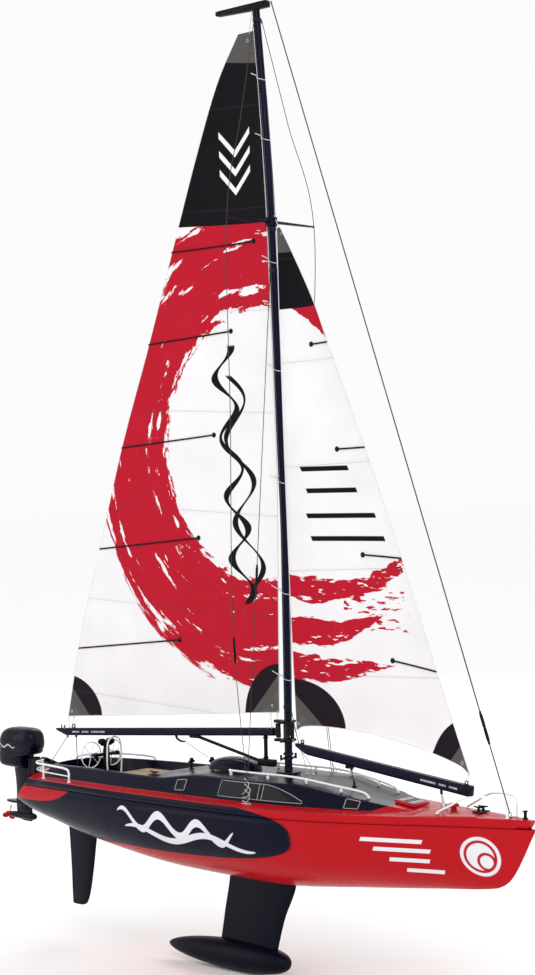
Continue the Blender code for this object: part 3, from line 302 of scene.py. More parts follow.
def cabin_paint():
    """Navy, turning to red forward of a line that rakes back down the cabin side."""
    g = painted("cabin_paint", "navy_gloss", NAVY)
    line = g.m("MULTIPLY_ADD", g.m("SUBTRACT", g.z, 0.113), 2.9, 0.176)
    front = g.step(g.m("SUBTRACT", g.x, line), -0.001, 0.001)
    g.set("Base Color", g.shade(g.mix(front, g.flat(NAVY), RED), g.noise(9, 4), 0.1))
    return g


def cowl_paint():
    """Dark enamel with one pale stroke on each side of the engine cover."""
    dark = (0.002, 0.0022, 0.01)
    g = painted("cowl_enamel", "navy_gloss", dark, 0.26, 0.14)
    mark = brush_wave(g, -0.568, -0.528, 0.139, 0.002, 12.0, 0.0013)
    g.set("Base Color", g.shade(g.mix(mark, g.flat(dark), (0.42, 0.43, 0.46)), g.noise(9, 4), 0.1))
    return g


def moulded(name, slot, colour, rough=0.38, grain=0.00003, edge=(0.05, 0.05, 0.055)):
    """Injection-moulded plastic: fine grain, faint flow marks, and convex edges mixed halfway toward the
    edge colour: rubbed wear, and where that colour is lighter than the plastic also a painted highlight
    along the edges.
    """
    g = Graph(name, slot, {"Roughness": rough, "Specular IOR Level": 0.08})
    flow = g.noise(22, 3, (1, 1, 3))
    base = g.shade(g.flat(colour), flow, 0.16)
    rubbed_and_highlit_edge = g.node("ShaderNodeNewGeometry").outputs["Pointiness"]
    rubbed_and_highlit_edge = g.both(g.step(rubbed_and_highlit_edge, 0.53, 0.62), g.step(g.noise(300, 3), 0.35, 0.65))
    # Convex edges, broken up by noise, go halfway to the edge colour: rubbed wear, and on the black, white
    # and grey plastics partly a painted highlight on the rim.
    g.set("Base Color", g.mix(g.m("MULTIPLY", rubbed_and_highlit_edge, 0.5), base, edge))
    g.set("Roughness", g.m("MULTIPLY_ADD", g.noise(110, 4), 0.18, rough - 0.09))
    g.set("Normal", g.bump(g.noise(1500, 2), grain))
    return g


def metal(name, slot, colour, rough=0.24):
    """Drawn or turned metal, brushed along its length and a little dulled."""
    g = Graph(name, slot, {"Metallic": 1.0, "Roughness": rough})
    lines = g.noise(900, 2, (1, 1, 0.06))
    g.set("Base Color", g.shade(g.flat(colour), g.noise(45, 4), 0.12))
    g.set("Roughness", g.m("MULTIPLY_ADD", lines, 0.22, rough - 0.1))
    g.set("Normal", g.bump(lines, 0.00001))
    return g


def twisted(name, slot, colour, pitch, rough=0.55, depth=0.00012):
    """Laid line or stranded wire; the strands wind along the piece's own UV length, each crown painted
    lighter than the grooves as painted highlight and painted shade.
    """
    g = Graph(name, slot, {"Roughness": rough})
    uv = g.node("ShaderNodeTexCoord").outputs["UV"]
    split = g.node("ShaderNodeSeparateXYZ", {0: uv})
    turn = g.m("MULTIPLY", split.outputs[0], 6 * math.pi)
    along = g.m("MULTIPLY", split.outputs[1], 2 * math.pi / pitch)
    strand = g.m("MULTIPLY_ADD", g.m("SINE", g.m("ADD", turn, along)), 0.5, 0.5)
    # Strand crowns are painted up to 45% toward a lighter tone and the grooves left darker: painted
    # highlight and painted shade along the lay, on top of the bump.
    g.set("Base Color", g.shade(g.mix(g.m("MULTIPLY", strand, 0.45), colour,
                                      tuple(min(1.0, c * 2.2 + 0.003) for c in colour)), g.noise(60, 3),
                                0.15))
    g.set("Normal", g.bump(strand, depth))
    return g


def wood():
    """Oiled teak: long grain, pores and a darker growth figure, running fore and aft."""
    g = Graph("teak_planks", "teak", {"Roughness": 0.55})
    figure = g.noise(60, 5, (0.12, 1, 1), 1.2)
    pores = g.step(g.noise(900, 3, (0.05, 1, 1)), 0.58, 0.66)
    plank = g.noise(55, 0, (0.001, 1, 0.001))
    colour = g.mix(g.step(figure, 0.3, 0.72), (0.36, 0.22, 0.075), (0.2, 0.105, 0.03))
    colour = g.shade(colour, plank, 0.35)
    g.set("Base Color", g.mix(g.m("MULTIPLY", pores, 0.6), colour, (0.07, 0.035, 0.012)))
    g.set("Roughness", g.m("MULTIPLY_ADD", figure, 0.2, 0.42))
    g.set("Normal", g.bump(g.m("SUBTRACT", figure, g.m("MULTIPLY", pores, 0.5)), 0.0002))
    return g


def tinted():
    g = Graph("smoked_pane", "tinted_window", {"Roughness": 0.06, "Specular IOR Level": 0.09,
                                               "Coat Weight": 0.04, "Coat Roughness": 0.02})
    g.set("Base Color", g.mix(g.noise(18, 3), (0.004, 0.004, 0.006), (0.012, 0.012, 0.016)))
    g.set("Roughness", g.m("MULTIPLY_ADD", g.noise(120, 4), 0.08, 0.04))
    g.set("Normal", g.bump(g.noise(24, 1), 0.00006))
    return g


SAIL_RED, SAIL_WHITE, SAIL_BLACK = (0.54, 0.012, 0.032), (0.9, 0.885, 0.9), (0.0075, 0.007, 0.0095)
PATCH_GREY, PATCH_DARK, PATCH_PALE = (0.112, 0.105, 0.1), (0.018, 0.011, 0.018), (0.155, 0.145, 0.14)


def cloth(name, paint):
    """Printed sailcloth: a fine square weave, stitched seams across the panels, light showing through."""
    g = Graph(name, "sailcloth", {"Roughness": 0.62, "Specular IOR Level": 0.06, "Sheen Weight": 0.01})
    colour, seam = paint(g)
    warp = g.m("SINE", g.m("MULTIPLY", g.x, 2 * math.pi / 0.0012))
    weft = g.m("SINE", g.m("MULTIPLY", g.z, 2 * math.pi / 0.0012))
    weave = g.m("MULTIPLY", warp, weft)
    colour = g.shade(colour, g.m("MULTIPLY_ADD", weave, 0.1, g.noise(14, 4)), 0.07)
    colour = g.mix(g.m("MULTIPLY", seam, 0.22), colour, (0.1, 0.08, 0.1))
    g.set("Base Color", colour)
    g.set("Roughness", g.m("MULTIPLY_ADD", g.noise(40, 3), 0.16, 0.54))
    creases = g.m("ADD", g.m("MULTIPLY", g.noise(7, 2, (1, 1, 0.45), 0.6), 12.0),
                  g.m("MULTIPLY", weave, 0.25))
    g.set("Normal", g.bump(g.m("ADD", creases, g.m("MULTIPLY", seam, -1.2)), 0.0003, 0.7))
    through = g.node("ShaderNodeBsdfTranslucent", {"Color": colour})
    blend = g.node("ShaderNodeMixShader", {0: 0.22, 1: g.shader.outputs[0], 2: through.outputs[0]})
    out = [n for n in g.tree.nodes if n.type == "OUTPUT_MATERIAL"][0]
    g.tree.links.new(blend.outputs[0], out.inputs["Surface"])
    return g


def level_line(g, z, slope):
    """How far a point lies above the line through height z at x = 0 with that slope."""
    return g.m("SUBTRACT", g.z, g.m("MULTIPLY_ADD", g.x, slope, z))


def seams(g, first, pitch, slope):
    """Stitched panel joins, two rows of needle holes beside each fold."""
    up = g.m("DIVIDE", level_line(g, first, slope), pitch)
    off = g.m("MULTIPLY", g.gap(g.m("FRACT", up), 0.5), pitch)
    fold = g.step(off, 0.0007, 0.0003)
    stitch = g.both(g.step(g.gap(off, 0.0022), 0.0004, 0.0001),
                    g.step(g.m("SINE", g.m("MULTIPLY", g.x, 2 * math.pi / 0.003)), 0.0, 0.3))
    return g.m("MAXIMUM", fold, g.m("MULTIPLY", stitch, 0.6))


def streaks(g, x, z, scale, shift):
    """Noise drawn out along circles round (x, z), for dry-brush strokes."""
    far, dx, dz = g.far(x, z)
    angle = g.m("ARCTAN2", dz, dx)
    at = g.node("ShaderNodeCombineXYZ", {0: g.m("MULTIPLY", far, scale), 1: g.m("MULTIPLY", angle, 3.4),
                                         2: shift})
    made = g.node("ShaderNodeTexNoise", {"Vector": at.outputs[0], "Scale": 1.0, "Detail": 5.0,
                                         "Roughness": 0.62})
    return made.outputs["Fac"], far


def main_cloth(g):
    ragged, far = streaks(g, -0.04, 0.567, 70.0, 1.7)
    wobble = g.m("MULTIPLY", g.m("SUBTRACT", ragged, 0.5), 0.05)
    edge = g.m("ADD", far, wobble)
    band = g.both(g.step(edge, 0.177, 0.179), g.step(edge, 0.322, 0.318))
    dry = g.step(g.m("ADD", ragged, g.m("MULTIPLY", g.gap(far, 0.245), 1.6)),
                 0.655, 0.675)
    band = g.both(band, g.no(dry))
    colour = g.mix(band, g.flat(SAIL_WHITE), SAIL_RED)
    stroke = brush_upright(g, -0.094, 0.7, 0.355, 0.018, 27.0, 0.0064)
    stroke = g.either(stroke, brush_upright(g, -0.078, 0.66, 0.38, 0.022, 16.0, 0.005))
    colour = g.mix(stroke, colour, SAIL_BLACK)
    black = g.step(level_line(g, 0.8525, -0.058), -0.0004, 0.0004)
    colour = g.mix(black, colour, SAIL_BLACK)
    for z in (0.9, 0.925, 0.95):
        bend = g.m("SUBTRACT", g.m("SUBTRACT", g.z, z), g.m("ABSOLUTE", g.m("ADD", g.x, 0.08)))
        chevron = g.both(g.step(g.m("ABSOLUTE", bend), 0.0048, 0.0042), g.patch(-0.108, -0.052, 0.88, 1.0))
        colour = g.mix(chevron, colour, SAIL_WHITE)
    colour = g.mix(g.step(level_line(g, 1.0573, -0.158), -0.0004, 0.0004), colour, PATCH_GREY)
    colour = corner(g, colour, (-0.433, 0.186), (0.076, 0.062), (0.054, 0.058))
    colour = corner(g, colour, (-0.012, 0.215), (0.064, 0.066), (0.052, 0.055))
    return colour, seams(g, 0.27, 0.134, -0.055)


def brush_upright(g, middle, top, foot, swing, wave, width):
    """A looping vertical brush line between two heights."""
    run = g.m("DIVIDE", g.m("SUBTRACT", g.z, foot), top - foot)
    taper = g.m("MULTIPLY_ADD", g.m("SINE", g.m("MULTIPLY", run, wave * 1.7)), 0.35, 0.75)
    line = g.m("MULTIPLY_ADD", g.m("SINE", g.m("MULTIPLY", run, wave)), swing, middle)
    line = g.m("MULTIPLY_ADD", g.m("SUBTRACT", 0.5, run), 0.04, line)
    off = g.gap(g.x, line)
    return g.both(g.step(g.m("SUBTRACT", g.m("MULTIPLY", taper, width), off), -0.0004, 0.0004),
                  g.step(run, 0.0, 0.01), g.step(run, 1.0, 0.99))


def corner(g, colour, at, dark, grey):
    """Corner patch: a dark quarter disc with a grey triangle laid over it, each (breadth, height)."""
    dx, dz = g.gap(g.x, at[0]), g.gap(g.z, at[1])
    disc = g.m("ADD", g.m("POWER", g.m("DIVIDE", dx, dark[0]), 2.0),
               g.m("POWER", g.m("DIVIDE", dz, dark[1]), 2.0))
    colour = g.mix(g.step(disc, 1.012, 0.988), colour, PATCH_DARK)
    edge = g.m("ADD", g.m("DIVIDE", dx, grey[0]), g.m("DIVIDE", dz, grey[1]))
    colour = g.mix(g.step(edge, 1.006, 0.994), colour, PATCH_GREY)
    return g.mix(g.both(g.step(edge, 0.66, 0.65), g.step(g.noise(30, 3), 0.35, 0.65)), colour, PATCH_PALE)


def swath(g, ragged, centre, run, half, power):
    """A ragged brush stroke along a parabola, thinning to nothing at x = run."""
    base, slope, bend = centre
    line = g.m("MULTIPLY_ADD", g.m("MULTIPLY_ADD", g.x, bend, slope), g.x, base)
    share = g.m("DIVIDE", g.m("MAXIMUM", g.x, 0.0), run)
    room = g.m("MULTIPLY", g.m("SUBTRACT", 1.0, g.m("POWER", share, power)), half)
    off = g.m("ABSOLUTE", g.m("ADD", g.m("SUBTRACT", g.z, line), ragged))
    return g.step(g.m("SUBTRACT", room, off), -0.0006, 0.0006)


def jib_cloth(g):
    coarse, fine = g.noise(34, 4, (0.5, 1, 1.4)), g.noise(170, 4, (0.28, 1, 1.2))
    ragged = g.m("ADD", g.m("MULTIPLY", g.m("SUBTRACT", coarse, 0.5), 0.022),
                 g.m("MULTIPLY", g.m("SUBTRACT", fine, 0.5), 0.009))
    band = g.either(swath(g, ragged, (0.384, -0.2512, 1.956), 0.44, 0.017, 1.0),
                    swath(g, ragged, (0.3265, -0.18, 1.9), 0.16, 0.0175, 3.0),
                    swath(g, ragged, (0.279, -0.03, 0.35), 0.18, 0.017, 1.7))
    bare = g.step(g.m("MULTIPLY_ADD", g.x, 0.55, fine), 0.655, 0.675)
    splash = g.both(g.patch(0.095, 0.205, 0.328, 0.378), g.step(g.m("SUBTRACT", fine,
                                                                    g.m("MULTIPLY", coarse, 0.2)), 0.475,
                                                                0.49))
    band = g.both(g.either(band, splash), g.either(g.no(bare), splash))
    colour = g.mix(band, g.flat(SAIL_WHITE), SAIL_RED)
    wedge = g.m("ADD", level_line(g, 0.7515, -0.68), g.m("MULTIPLY", g.m("SUBTRACT", fine, 0.5), 0.01))
    colour = g.mix(g.both(g.step(wedge, -0.0005, 0.0005), g.step(g.x, 0.016, 0.019)), colour, SAIL_RED)
    for start, end, level in ((0.028, 0.105, 0.532), (0.037, 0.119, 0.504), (0.037, 0.151, 0.472),
                              (0.044, 0.166, 0.443)):
        colour = g.mix(slanted_bar(g, start, end, level, 0.0031, 0.5), colour, SAIL_BLACK)
    colour = g.mix(g.step(level_line(g, 0.7385, 0.02), -0.0004, 0.0004), colour, SAIL_BLACK)
    colour = g.mix(g.step(level_line(g, 0.812, -0.03), -0.0004, 0.0004), colour, PATCH_GREY)
    colour = corner(g, colour, (0.015, 0.1965), (0.085, 0.066), (0.056, 0.046))
    colour = corner(g, colour, (0.2956, 0.1617), (0.06, 0.066), (0.042, 0.05))
    return colour, seams(g, 0.2, 0.134, 0.03)


# ---------------------------------------------------------------- shape helpers
def piece(name, bm, look, body, stands_for=(), smooth=38):
    """A finished mesh piece, in the row frame, riding on its body.

    look names one of LOOK, or several by face index."""
    bmesh.ops.recalc_face_normals(bm, faces=bm.faces)
    mesh = bpy.data.meshes.new(name)
    bm.to_mesh(mesh)
    bm.free()
    mesh.shade_smooth()
    mesh.set_sharp_from_angle(angle=math.radians(smooth))
    several = [LOOK[one] for one in (look if isinstance(look, list) else [look])]
    for one in several:
        mesh.materials.append(one.material)
    ob = bpy.data.objects.new(name, mesh)
    scene.collection.objects.link(ob)
    if body is not None:
        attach(ob, body)
    if stands_for:
        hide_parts(*stands_for)
    return ob


def frame_along(along, hint=Vector((0, 0, 1))):
    """Two directions across a line."""
    along = Vector(along).normalized()
    if abs(along.dot(hint)) > 0.93:
        hint = Vector((1, 0, 0)) if abs(along.x) < 0.9 else Vector((0, 1, 0))
    side = along.cross(hint).normalized()
    return side, side.cross(along).normalized()


def turns(sides):
    """Cosine and sine of evenly spaced angles round a turn."""
    return [(math.cos(2 * math.pi * k / sides), math.sin(2 * math.pi * k / sides)) for k in range(sides)]


def skin(bm, rings, slot=0, closed=False):
    """Faces through equal rings of points; gives UVs of share round and distance along."""
    uv = bm.loops.layers.uv.verify()
    made = [[bm.verts.new(p) for p in ring] for ring in rings]
    n = len(rings[0])
    run = [0.0]
    for a, b in zip(rings, rings[1:]):
        run.append(run[-1] + (sum((Vector(q) for q in b), Vector()) / n
                              - sum((Vector(q) for q in a), Vector()) / n).length)
    pairs = list(zip(range(len(made) - 1), range(1, len(made))))
    if closed:
        pairs.append((len(made) - 1, 0))
    for k, j in pairs:
        for i in range(n):
            w = (i + 1) % n
            face = bm.faces.new((made[k][i], made[k][w], made[j][w], made[j][i]))
            face.material_index = slot
            ends = (run[k], run[k], run[j] if j else run[k] + 0.001, run[j] if j else run[k] + 0.001)
            for loop, u, v in zip(face.loops, (i / n, (i + 1) / n, (i + 1) / n, i / n), ends):
                loop[uv].uv = (u, v)
    if not closed:
        for ring in (made[0], made[-1]):
            bm.faces.new(ring).material_index = slot
    return made


def catmull(points, per_span=6):
    pts = [Vector(p) for p in points]
    pts = [pts[0] * 2 - pts[1]] + pts + [pts[-1] * 2 - pts[-2]]
    out = []
    for a, b, c, d in zip(pts, pts[1:], pts[2:], pts[3:]):
        for k in range(per_span):
            t = k / per_span
            out.append(0.5 * ((2 * b) + (c - a) * t + (2 * a - 5 * b + 4 * c - d) * t ** 2
                              + (3 * b - a - 3 * c + d) * t ** 3))
    return out + [pts[-2]]


def evenly(points, pitch):
    """Points about a pitch apart along a line of points."""
    pts = [Vector(p) for p in points]
    out = [pts[0]]
    for a, b in zip(pts, pts[1:]):
        n = max(1, round((b - a).length / pitch))
        out += [a.lerp(b, (k + 1) / n) for k in range(n)]
    return out


def bar(bm, points, radius, sides=12, slot=0, closed=False):
    """A round bar, wire or line along points, with domed ends as deep as its last radius asks."""
    pts = [Vector(p) for p in points]
    n = len(pts)
    tip = radius(1.0) if callable(radius) else radius
    domes = ((0.55, 0.84), (0.95, 0.3))
    side = None
    rings = []
    for k, p in enumerate(pts):
        if closed:
            along = pts[(k + 1) % n] - pts[k - 1]
        else:
            along = pts[min(k + 1, n - 1)] - pts[max(k - 1, 0)]
        along.normalize()
        if side is None:
            side = frame_along(along, Vector((0.03, 0.02, 1)).normalized())[0]
        side = (side - along * side.dot(along)).normalized()
        top = side.cross(along)
        r = radius(k / (n - 1)) if callable(radius) else radius
        ring = [p + side * (r * c) + top * (r * s) for c, s in turns(sides)]
        if k == 0 and not closed:
            rings += [[p - along * (tip * out) + (q - p) * share for q in ring] for out,
                      share in domes[::-1]]
        rings.append(ring)
        if k == n - 1 and not closed:
            rings += [[p + along * (tip * out) + (q - p) * share for q in ring] for out, share in domes]
    skin(bm, rings, slot, closed)


def lathe(bm, start, along, profile, sides=24, slot=0):
    """A turned shape; profile is (distance along, radius)."""
    start, along = Vector(start), Vector(along).normalized()
    side, top = frame_along(along)
    skin(bm, [[start + along * d + side * (max(r, 0.00005) * c) + top * (max(r, 0.00005) * s)
               for c, s in turns(sides)] for d, r in profile], slot)


def post(bm, foot, profile, sides=24):
    """A turned shape standing upright."""
    lathe(bm, foot, (0, 0, 1), profile, sides)


def ball(bm, centre, radius, sides=14):
    steps = 9
    post(bm, Vector(centre) - Vector((0, 0, radius)),
         [(radius * (1 - math.cos(math.pi * k / steps)), radius * math.sin(math.pi * k / steps))
          for k in range(steps + 1)], sides)


def block(bm, low, high, bevel=0.0006, segments=3, slot=0):
    """A box with rounded edges."""
    low, high = Vector(low), Vector(high)
    middle, size = (low + high) / 2, high - low
    part = bmesh.new()
    bmesh.ops.create_cube(part, size=1.0)
    bmesh.ops.scale(part, vec=size, verts=part.verts)
    bmesh.ops.bevel(part, geom=part.edges[:], offset=min(bevel, min(size) * 0.45), segments=segments,
                    profile=0.5, affect="EDGES")
    bmesh.ops.translate(part, vec=middle, verts=part.verts)
    merge(bm, part, slot)


def merge(bm, part, slot):
    """Adds a finished part to a piece's mesh."""
    for face in part.faces:
        face.material_index = slot
    mesh = bpy.data.meshes.new("part")
    part.to_mesh(mesh)
    part.free()
    bm.from_mesh(mesh)
    bpy.data.meshes.remove(mesh)


def plate(bm, outline, half, bevel, offset=0.0):
    """A flat upright piece from its outline in the side view, with rounded edges."""
    part = bmesh.new()
    front = [part.verts.new((x, offset - half, z)) for x, z in outline]
    back = [part.verts.new((x, offset + half, z)) for x, z in outline]
    part.faces.new(front)
    part.faces.new(back[::-1])
    n = len(outline)
    for i in range(n):
        part.faces.new((front[i], back[i], back[(i + 1) % n], front[(i + 1) % n]))
    bmesh.ops.recalc_face_normals(part, faces=part.faces)
    bmesh.ops.bevel(part, geom=part.edges[:], offset=bevel, segments=2, profile=0.5, affect="EDGES",
                    clamp_overlap=True)
    merge(bm, part, 0)


def hoop(bm, centre, along, radius, thick, around=28, sides=8, end=2 * math.pi):
    """A ring of round wire, or an arc of one."""
    side, top = frame_along(along)
    whole = end == 2 * math.pi
    angles = [end * k / around for k in range(around if whole else around + 1)]
    pts = [Vector(centre) + side * (radius * math.cos(a)) + top * (radius * math.sin(a)) for a in angles]
    bar(bm, pts, thick, sides, closed=whole)


def screw(bm, at, out, radius=0.0011):
    """A domed screw head with a recess, standing on a surface."""
    at, out = Vector(at), Vector(out).normalized()
    shape = ((0, 0.9), (0.3, 1), (0.6, 0.86), (0.8, 0.5), (0.62, 0.32), (0.55, 0.05))
    lathe(bm, at - out * radius * 0.3, out, [(radius * d, radius * r) for d, r in shape], 14)


def squircle(cx, cy, z, half_x, half_y, power, sides):
    """A level ring between an ellipse (power 1) and a rectangle (power 0)."""
    return [(cx + half_x * math.copysign(abs(c) ** power, c),
             cy + half_y * math.copysign(abs(s) ** power, s), z)
            for c, s in turns(sides)]


def table(rows, x, column=1):
    """The value at x from rows of (x, values...), on a smooth curve without overshoot."""
    for i in range(len(rows) - 1):
        if x <= rows[i + 1][0] or i == len(rows) - 2:
            break
    x0, x1, y0, y1 = rows[i][0], rows[i + 1][0], rows[i][column], rows[i + 1][column]

    def secant(k):
        k = min(max(k, 0), len(rows) - 2)
        return (rows[k + 1][column] - rows[k][column]) / (rows[k + 1][0] - rows[k][0])

    def slope(k):
        before, after = secant(k - 1), secant(k)
        return 0.0 if before * after <= 0 else 2 * before * after / (before + after)

    t, h = min(max((x - x0) / (x1 - x0), 0.0), 1.0), x1 - x0
    return (y0 * (2 * t ** 3 - 3 * t ** 2 + 1) + slope(i) * h * (t ** 3 - 2 * t ** 2 + t)
            + y1 * (3 * t ** 2 - 2 * t ** 3) + slope(i + 1) * h * (t ** 3 - t ** 2))


# ---------------------------------------------------------------- hull and deck
SHEER = [(-0.462, 0.072, 0.107), (-0.4, 0.081, 0.108), (-0.33, 0.091, 0.1095),
         (-0.25, 0.1, 0.11), (-0.15, 0.106, 0.1105), (-0.05, 0.1075, 0.1105),
         (0.03, 0.105, 0.1105), (0.11, 0.094, 0.111), (0.18, 0.074, 0.112),
         (0.27, 0.043, 0.114), (0.32, 0.0265, 0.115), (0.36, 0.013, 0.1155),
         (0.3965, 0.0012, 0.1158)]
KEEL = [(-0.462, 0.068), (-0.4, 0.046), (-0.28, 0.022), (-0.14, 0.005), (0.0, 0.0),
        (0.14, 0.0105), (0.25, 0.021), (0.332, 0.0305), (0.349, 0.0385), (0.3965, 0.115)]
CABIN = [(-0.43, 0.058), (-0.355, 0.066), (-0.2, 0.078), (-0.05, 0.08), (0.04, 0.0745),
         (0.11, 0.062), (0.18, 0.044), (0.235, 0.022)]
ROOF = [(-0.17, 0.0185), (-0.09, 0.027), (0.06, 0.027), (0.12, 0.019), (0.18, 0.0095),
        (0.235, 0.0012)]
LIP, GAP = 0.01, 0.0003
SIDES = (("starboard", -1), ("port", 1))


def half_beam(x):
    return table(SHEER, x, 1)


def sheer(x):
    return table(SHEER, x, 2)


def stern_shape(p):
    x, y, z = p
    t = min(max((-0.38 - x) / 0.082, 0.0), 1.0)
    t = t * t * (3 - 2 * t)
    return Vector((x + t * (0.026 / 0.072 ** 2 * y * y - 0.036 / 0.037 * (SHEER[0][2] - z)), y, z))


def raised(x):
    return 0.0185 if x <= -0.17 else table(ROOF, x)


def side_point(x, up, out=0.0):
    foot, tall = table(CABIN, x), raised(x)
    y = foot - (0.3 * tall + 0.004) * up + out
    return y, sheer(x) + 0.0015 + (tall - 0.0015) * up + 0.3 * out


def on_side(x, up, sign, out):
    y, z = side_point(x, up, out)
    return Vector((x, sign * y, z))


def roof_z(x, y):
    top = side_point(x, 1.0)[0]
    return sheer(x) + raised(x) + 0.0015 * (1 - min(abs(y) / top, 1.0))


def plain_deck_z(x, y):
    b = half_beam(x)
    return sheer(x) + 0.004 * min(1.0, b / 0.03) * (1 - (y / b) ** 2)


def hull_section(x, steps=22):
    """One side from the rim down to the keel line."""
    fullness = 3.2 if x < -0.4 else 2.15 if x > -0.05 else 3.2 - 1.05 * (x + 0.4) / 0.35
    if x > 0.1:
        fullness = 2.15 - 0.75 * (x - 0.1) / 0.28
    b, keel, rim = half_beam(x), table(KEEL, x), sheer(x) - LIP - 2 * GAP
    out = []
    for i in range(steps):
        a = math.pi / 2 * i / (steps - 1)
        out.append((b * max(math.cos(a), 0.0) ** (2 / fullness),
                    rim - (rim - keel) * math.sin(a) ** (2 / fullness)))
    return out


def hull_piece():
    bm = bmesh.new()
    stations = [-0.462 + 0.806 * k / 84 for k in range(85)] + [0.344 + 0.0443 * k / 12 for k in range(1, 13)]
    rows = []
    for x in stations:
        half = hull_section(x)
        line = [(y, z) for y, z in half] + [(-y, z) for y, z in reversed(half[:-1])]
        rows.append([bm.verts.new(stern_shape((x, y, z))) for y, z in line])
    for a, b in zip(rows, rows[1:]):
        for i in range(len(a) - 1):
            bm.faces.new((a[i], a[i + 1], b[i + 1], b[i]))
    half = hull_section(stations[0])
    across = 12
    grid = []
    for i, (y, z) in enumerate(half):
        line = [rows[0][i]]
        for k in range(1, across):
            line.append(bm.verts.new(stern_shape((stations[0], y * (1 - 2 * k / across), z))))
        line.append(rows[0][len(rows[0]) - 1 - i])
        grid.append(line)
    for a, b in zip(grid, grid[1:-1]):
        for k in range(across):
            bm.faces.new((a[k], b[k], b[k + 1], a[k + 1]))
    low = grid[-2]
    tip = rows[0][len(half) - 1]
    for k in range(across):
        bm.faces.new((low[k], tip, low[k + 1]))
    for vert in [v for line in grid[-1:] for v in line[1:-1]]:
        bm.verts.remove(vert)
    bow = rows[-1]
    for i in range(len(half) - 1):
        a, b, c, d = bow[i], bow[i + 1], bow[len(bow) - 2 - i], bow[len(bow) - 1 - i]
        bm.faces.new((a, b, c, d) if b is not c else (a, b, d))
    ob = piece("hull_skin", bm, "hull", "hull", ("hull_shell",), smooth=55)
    wall = ob.modifiers.new("wall", "SOLIDIFY")
    wall.thickness, wall.offset = 0.0016, -1.0
    return ob


def deck_section(x, kind):
    b, zs = half_beam(x), sheer(x)
    pts = [(b, zs - LIP), (b + 0.001, zs - LIP * 0.5), (b + 0.0002, zs - 0.001), (b - 0.0008, zs)]
    tall = raised(x) if kind != "end" else 0.0015
    if kind in ("fore", "end"):
        crown = 0.004 * min(1.0, b / 0.03)
        pts += [(b * k, zs + crown * (1 - k * k)) for k in (0.85, 0.73, 0.6, 0.46, 0.32, 0.16)]
        return pts + [(0.0, zs + crown)]
    foot = min(table(CABIN, x), b * 0.86)
    pts.append((foot + 0.0025, zs + 0.0008))
    pts += [side_point(x, u) for u in (0.04, 0.94)]
    top_y = side_point(x, 1.0)[0]
    pts.append((top_y - 0.0025, zs + tall))
    if kind == "cockpit":
        pts += [(top_y - 0.0075, zs + tall), (top_y - 0.009, zs - 0.001)]
        return pts + [(0.0, zs - 0.001)]
    pts += [(top_y * 0.66, zs + tall + 0.0015 * 0.55), (top_y * 0.33, zs + tall + 0.0015 * 0.9)]
    return pts + [(0.0, zs + tall + 0.0015)]


def eased(points, radius=0.0013):
    """Every inner corner of a profile swapped for a short curve of three points."""
    out = [points[0]]
    for a, p, b in zip(points, points[1:], points[2:]):
        a, p, b = Vector(a), Vector(p), Vector(b)
        u, v = a - p, b - p
        s = p + u.normalized() * min(radius, u.length * 0.45)
        e = p + v.normalized() * min(radius, v.length * 0.45)
        out += [tuple(s), tuple(s * 0.25 + p * 0.5 + e * 0.25), tuple(e)]
    return out + [points[-1]]


def deck_piece():
    layout = [(-0.462, "end"), (-0.442, "end"), (-0.4335, "end"), (-0.43, "cabin"), (-0.4255, "cabin"),
              (-0.421, "cockpit"), (-0.39, "cockpit"), (-0.34, "cockpit"), (-0.27, "cockpit"),
              (-0.204, "cockpit"), (-0.1995, "cabin"), (-0.17, "cabin"), (-0.13, "cabin"),
              (-0.09, "cabin"), (-0.03, "cabin"), (0.03, "cabin"), (0.06, "cabin"), (0.09, "cabin"),
              (0.12, "cabin"), (0.15, "cabin"), (0.18, "cabin"), (0.208, "cabin"), (0.23, "cabin"),
              (0.245, "fore"), (0.28, "fore"), (0.315, "fore"), (0.345, "fore"), (0.368, "fore"),
              (0.3878, "fore")]
    sections = []
    for (x0, kind0), (x1, kind1) in zip(layout, layout[1:]):
        if kind0 == kind1:
            n = max(2, round((x1 - x0) / 0.009))
            sections += [(x0 + (x1 - x0) * k / n, kind0, deck_section(x0 + (x1 - x0) * k / n, kind0))
                         for k in range(n)]
        else:
            here, there = deck_section(x0, kind0), deck_section(x1, kind1)
            n = 6 if x0 > 0.2 else 3
            for k in range(n):
                t = k / n
                s = t * t * (3 - 2 * t)
                sections.append((x0 + (x1 - x0) * t, kind0 if t < 0.5 else kind1,
                                 [(a[0] * (1 - s) + b[0] * s, a[1] * (1 - s) + b[1] * s)
                                  for a, b in zip(here, there)]))
    sections.append((layout[-1][0], "fore", deck_section(*layout[-1])))
    bm = bmesh.new()
    rows = []
    for x, kind, half in sections:
        half = eased(half)
        line = [(x, y, z) for y, z in half] + [(x, -y, z) for y, z in reversed(half[:-1])]
        if x > 0.37:
            line = [(px - 0.6 * (sheer(x) - pz) * min(1, (x - 0.37) / 0.004), py, pz) for px, py, pz in line]
        rows.append(([bm.verts.new(stern_shape(p)) for p in line], kind))
    for (a, kind), (b, kind2) in zip(rows, rows[1:]):
        for i in range(len(a) - 1):
            face = bm.faces.new((a[i], a[i + 1], b[i + 1], b[i]))
            j = min(i, len(a) - 2 - i)
            origin = 0 if j == 0 else (j - 1) // 3 + 1
            plain = kind in ("fore", "end") and kind2 in ("fore", "end")
            if origin < 3 and j < 9:
                face.material_index = 1
            elif plain or j < 13:
                face.material_index = 2
            else:
                face.material_index = 0
    for line in (rows[0][0], rows[-1][0]):
        n = len(line)
        for i in range(n // 2):
            a, b, c, d = line[i], line[i + 1], line[n - 2 - i], line[n - 1 - i]
            face = bm.faces.new((a, b, c, d) if b is not c else (a, b, d))
            face.material_index = 1
    ob = piece("deck_skin", bm, ["cabin", "strake", "deck_red"], "hull", ("deck_moulding",),
               smooth=48)
    wall = ob.modifiers.new("wall", "SOLIDIFY")
    wall.thickness, wall.offset = 0.0014, -1.0
    return ob


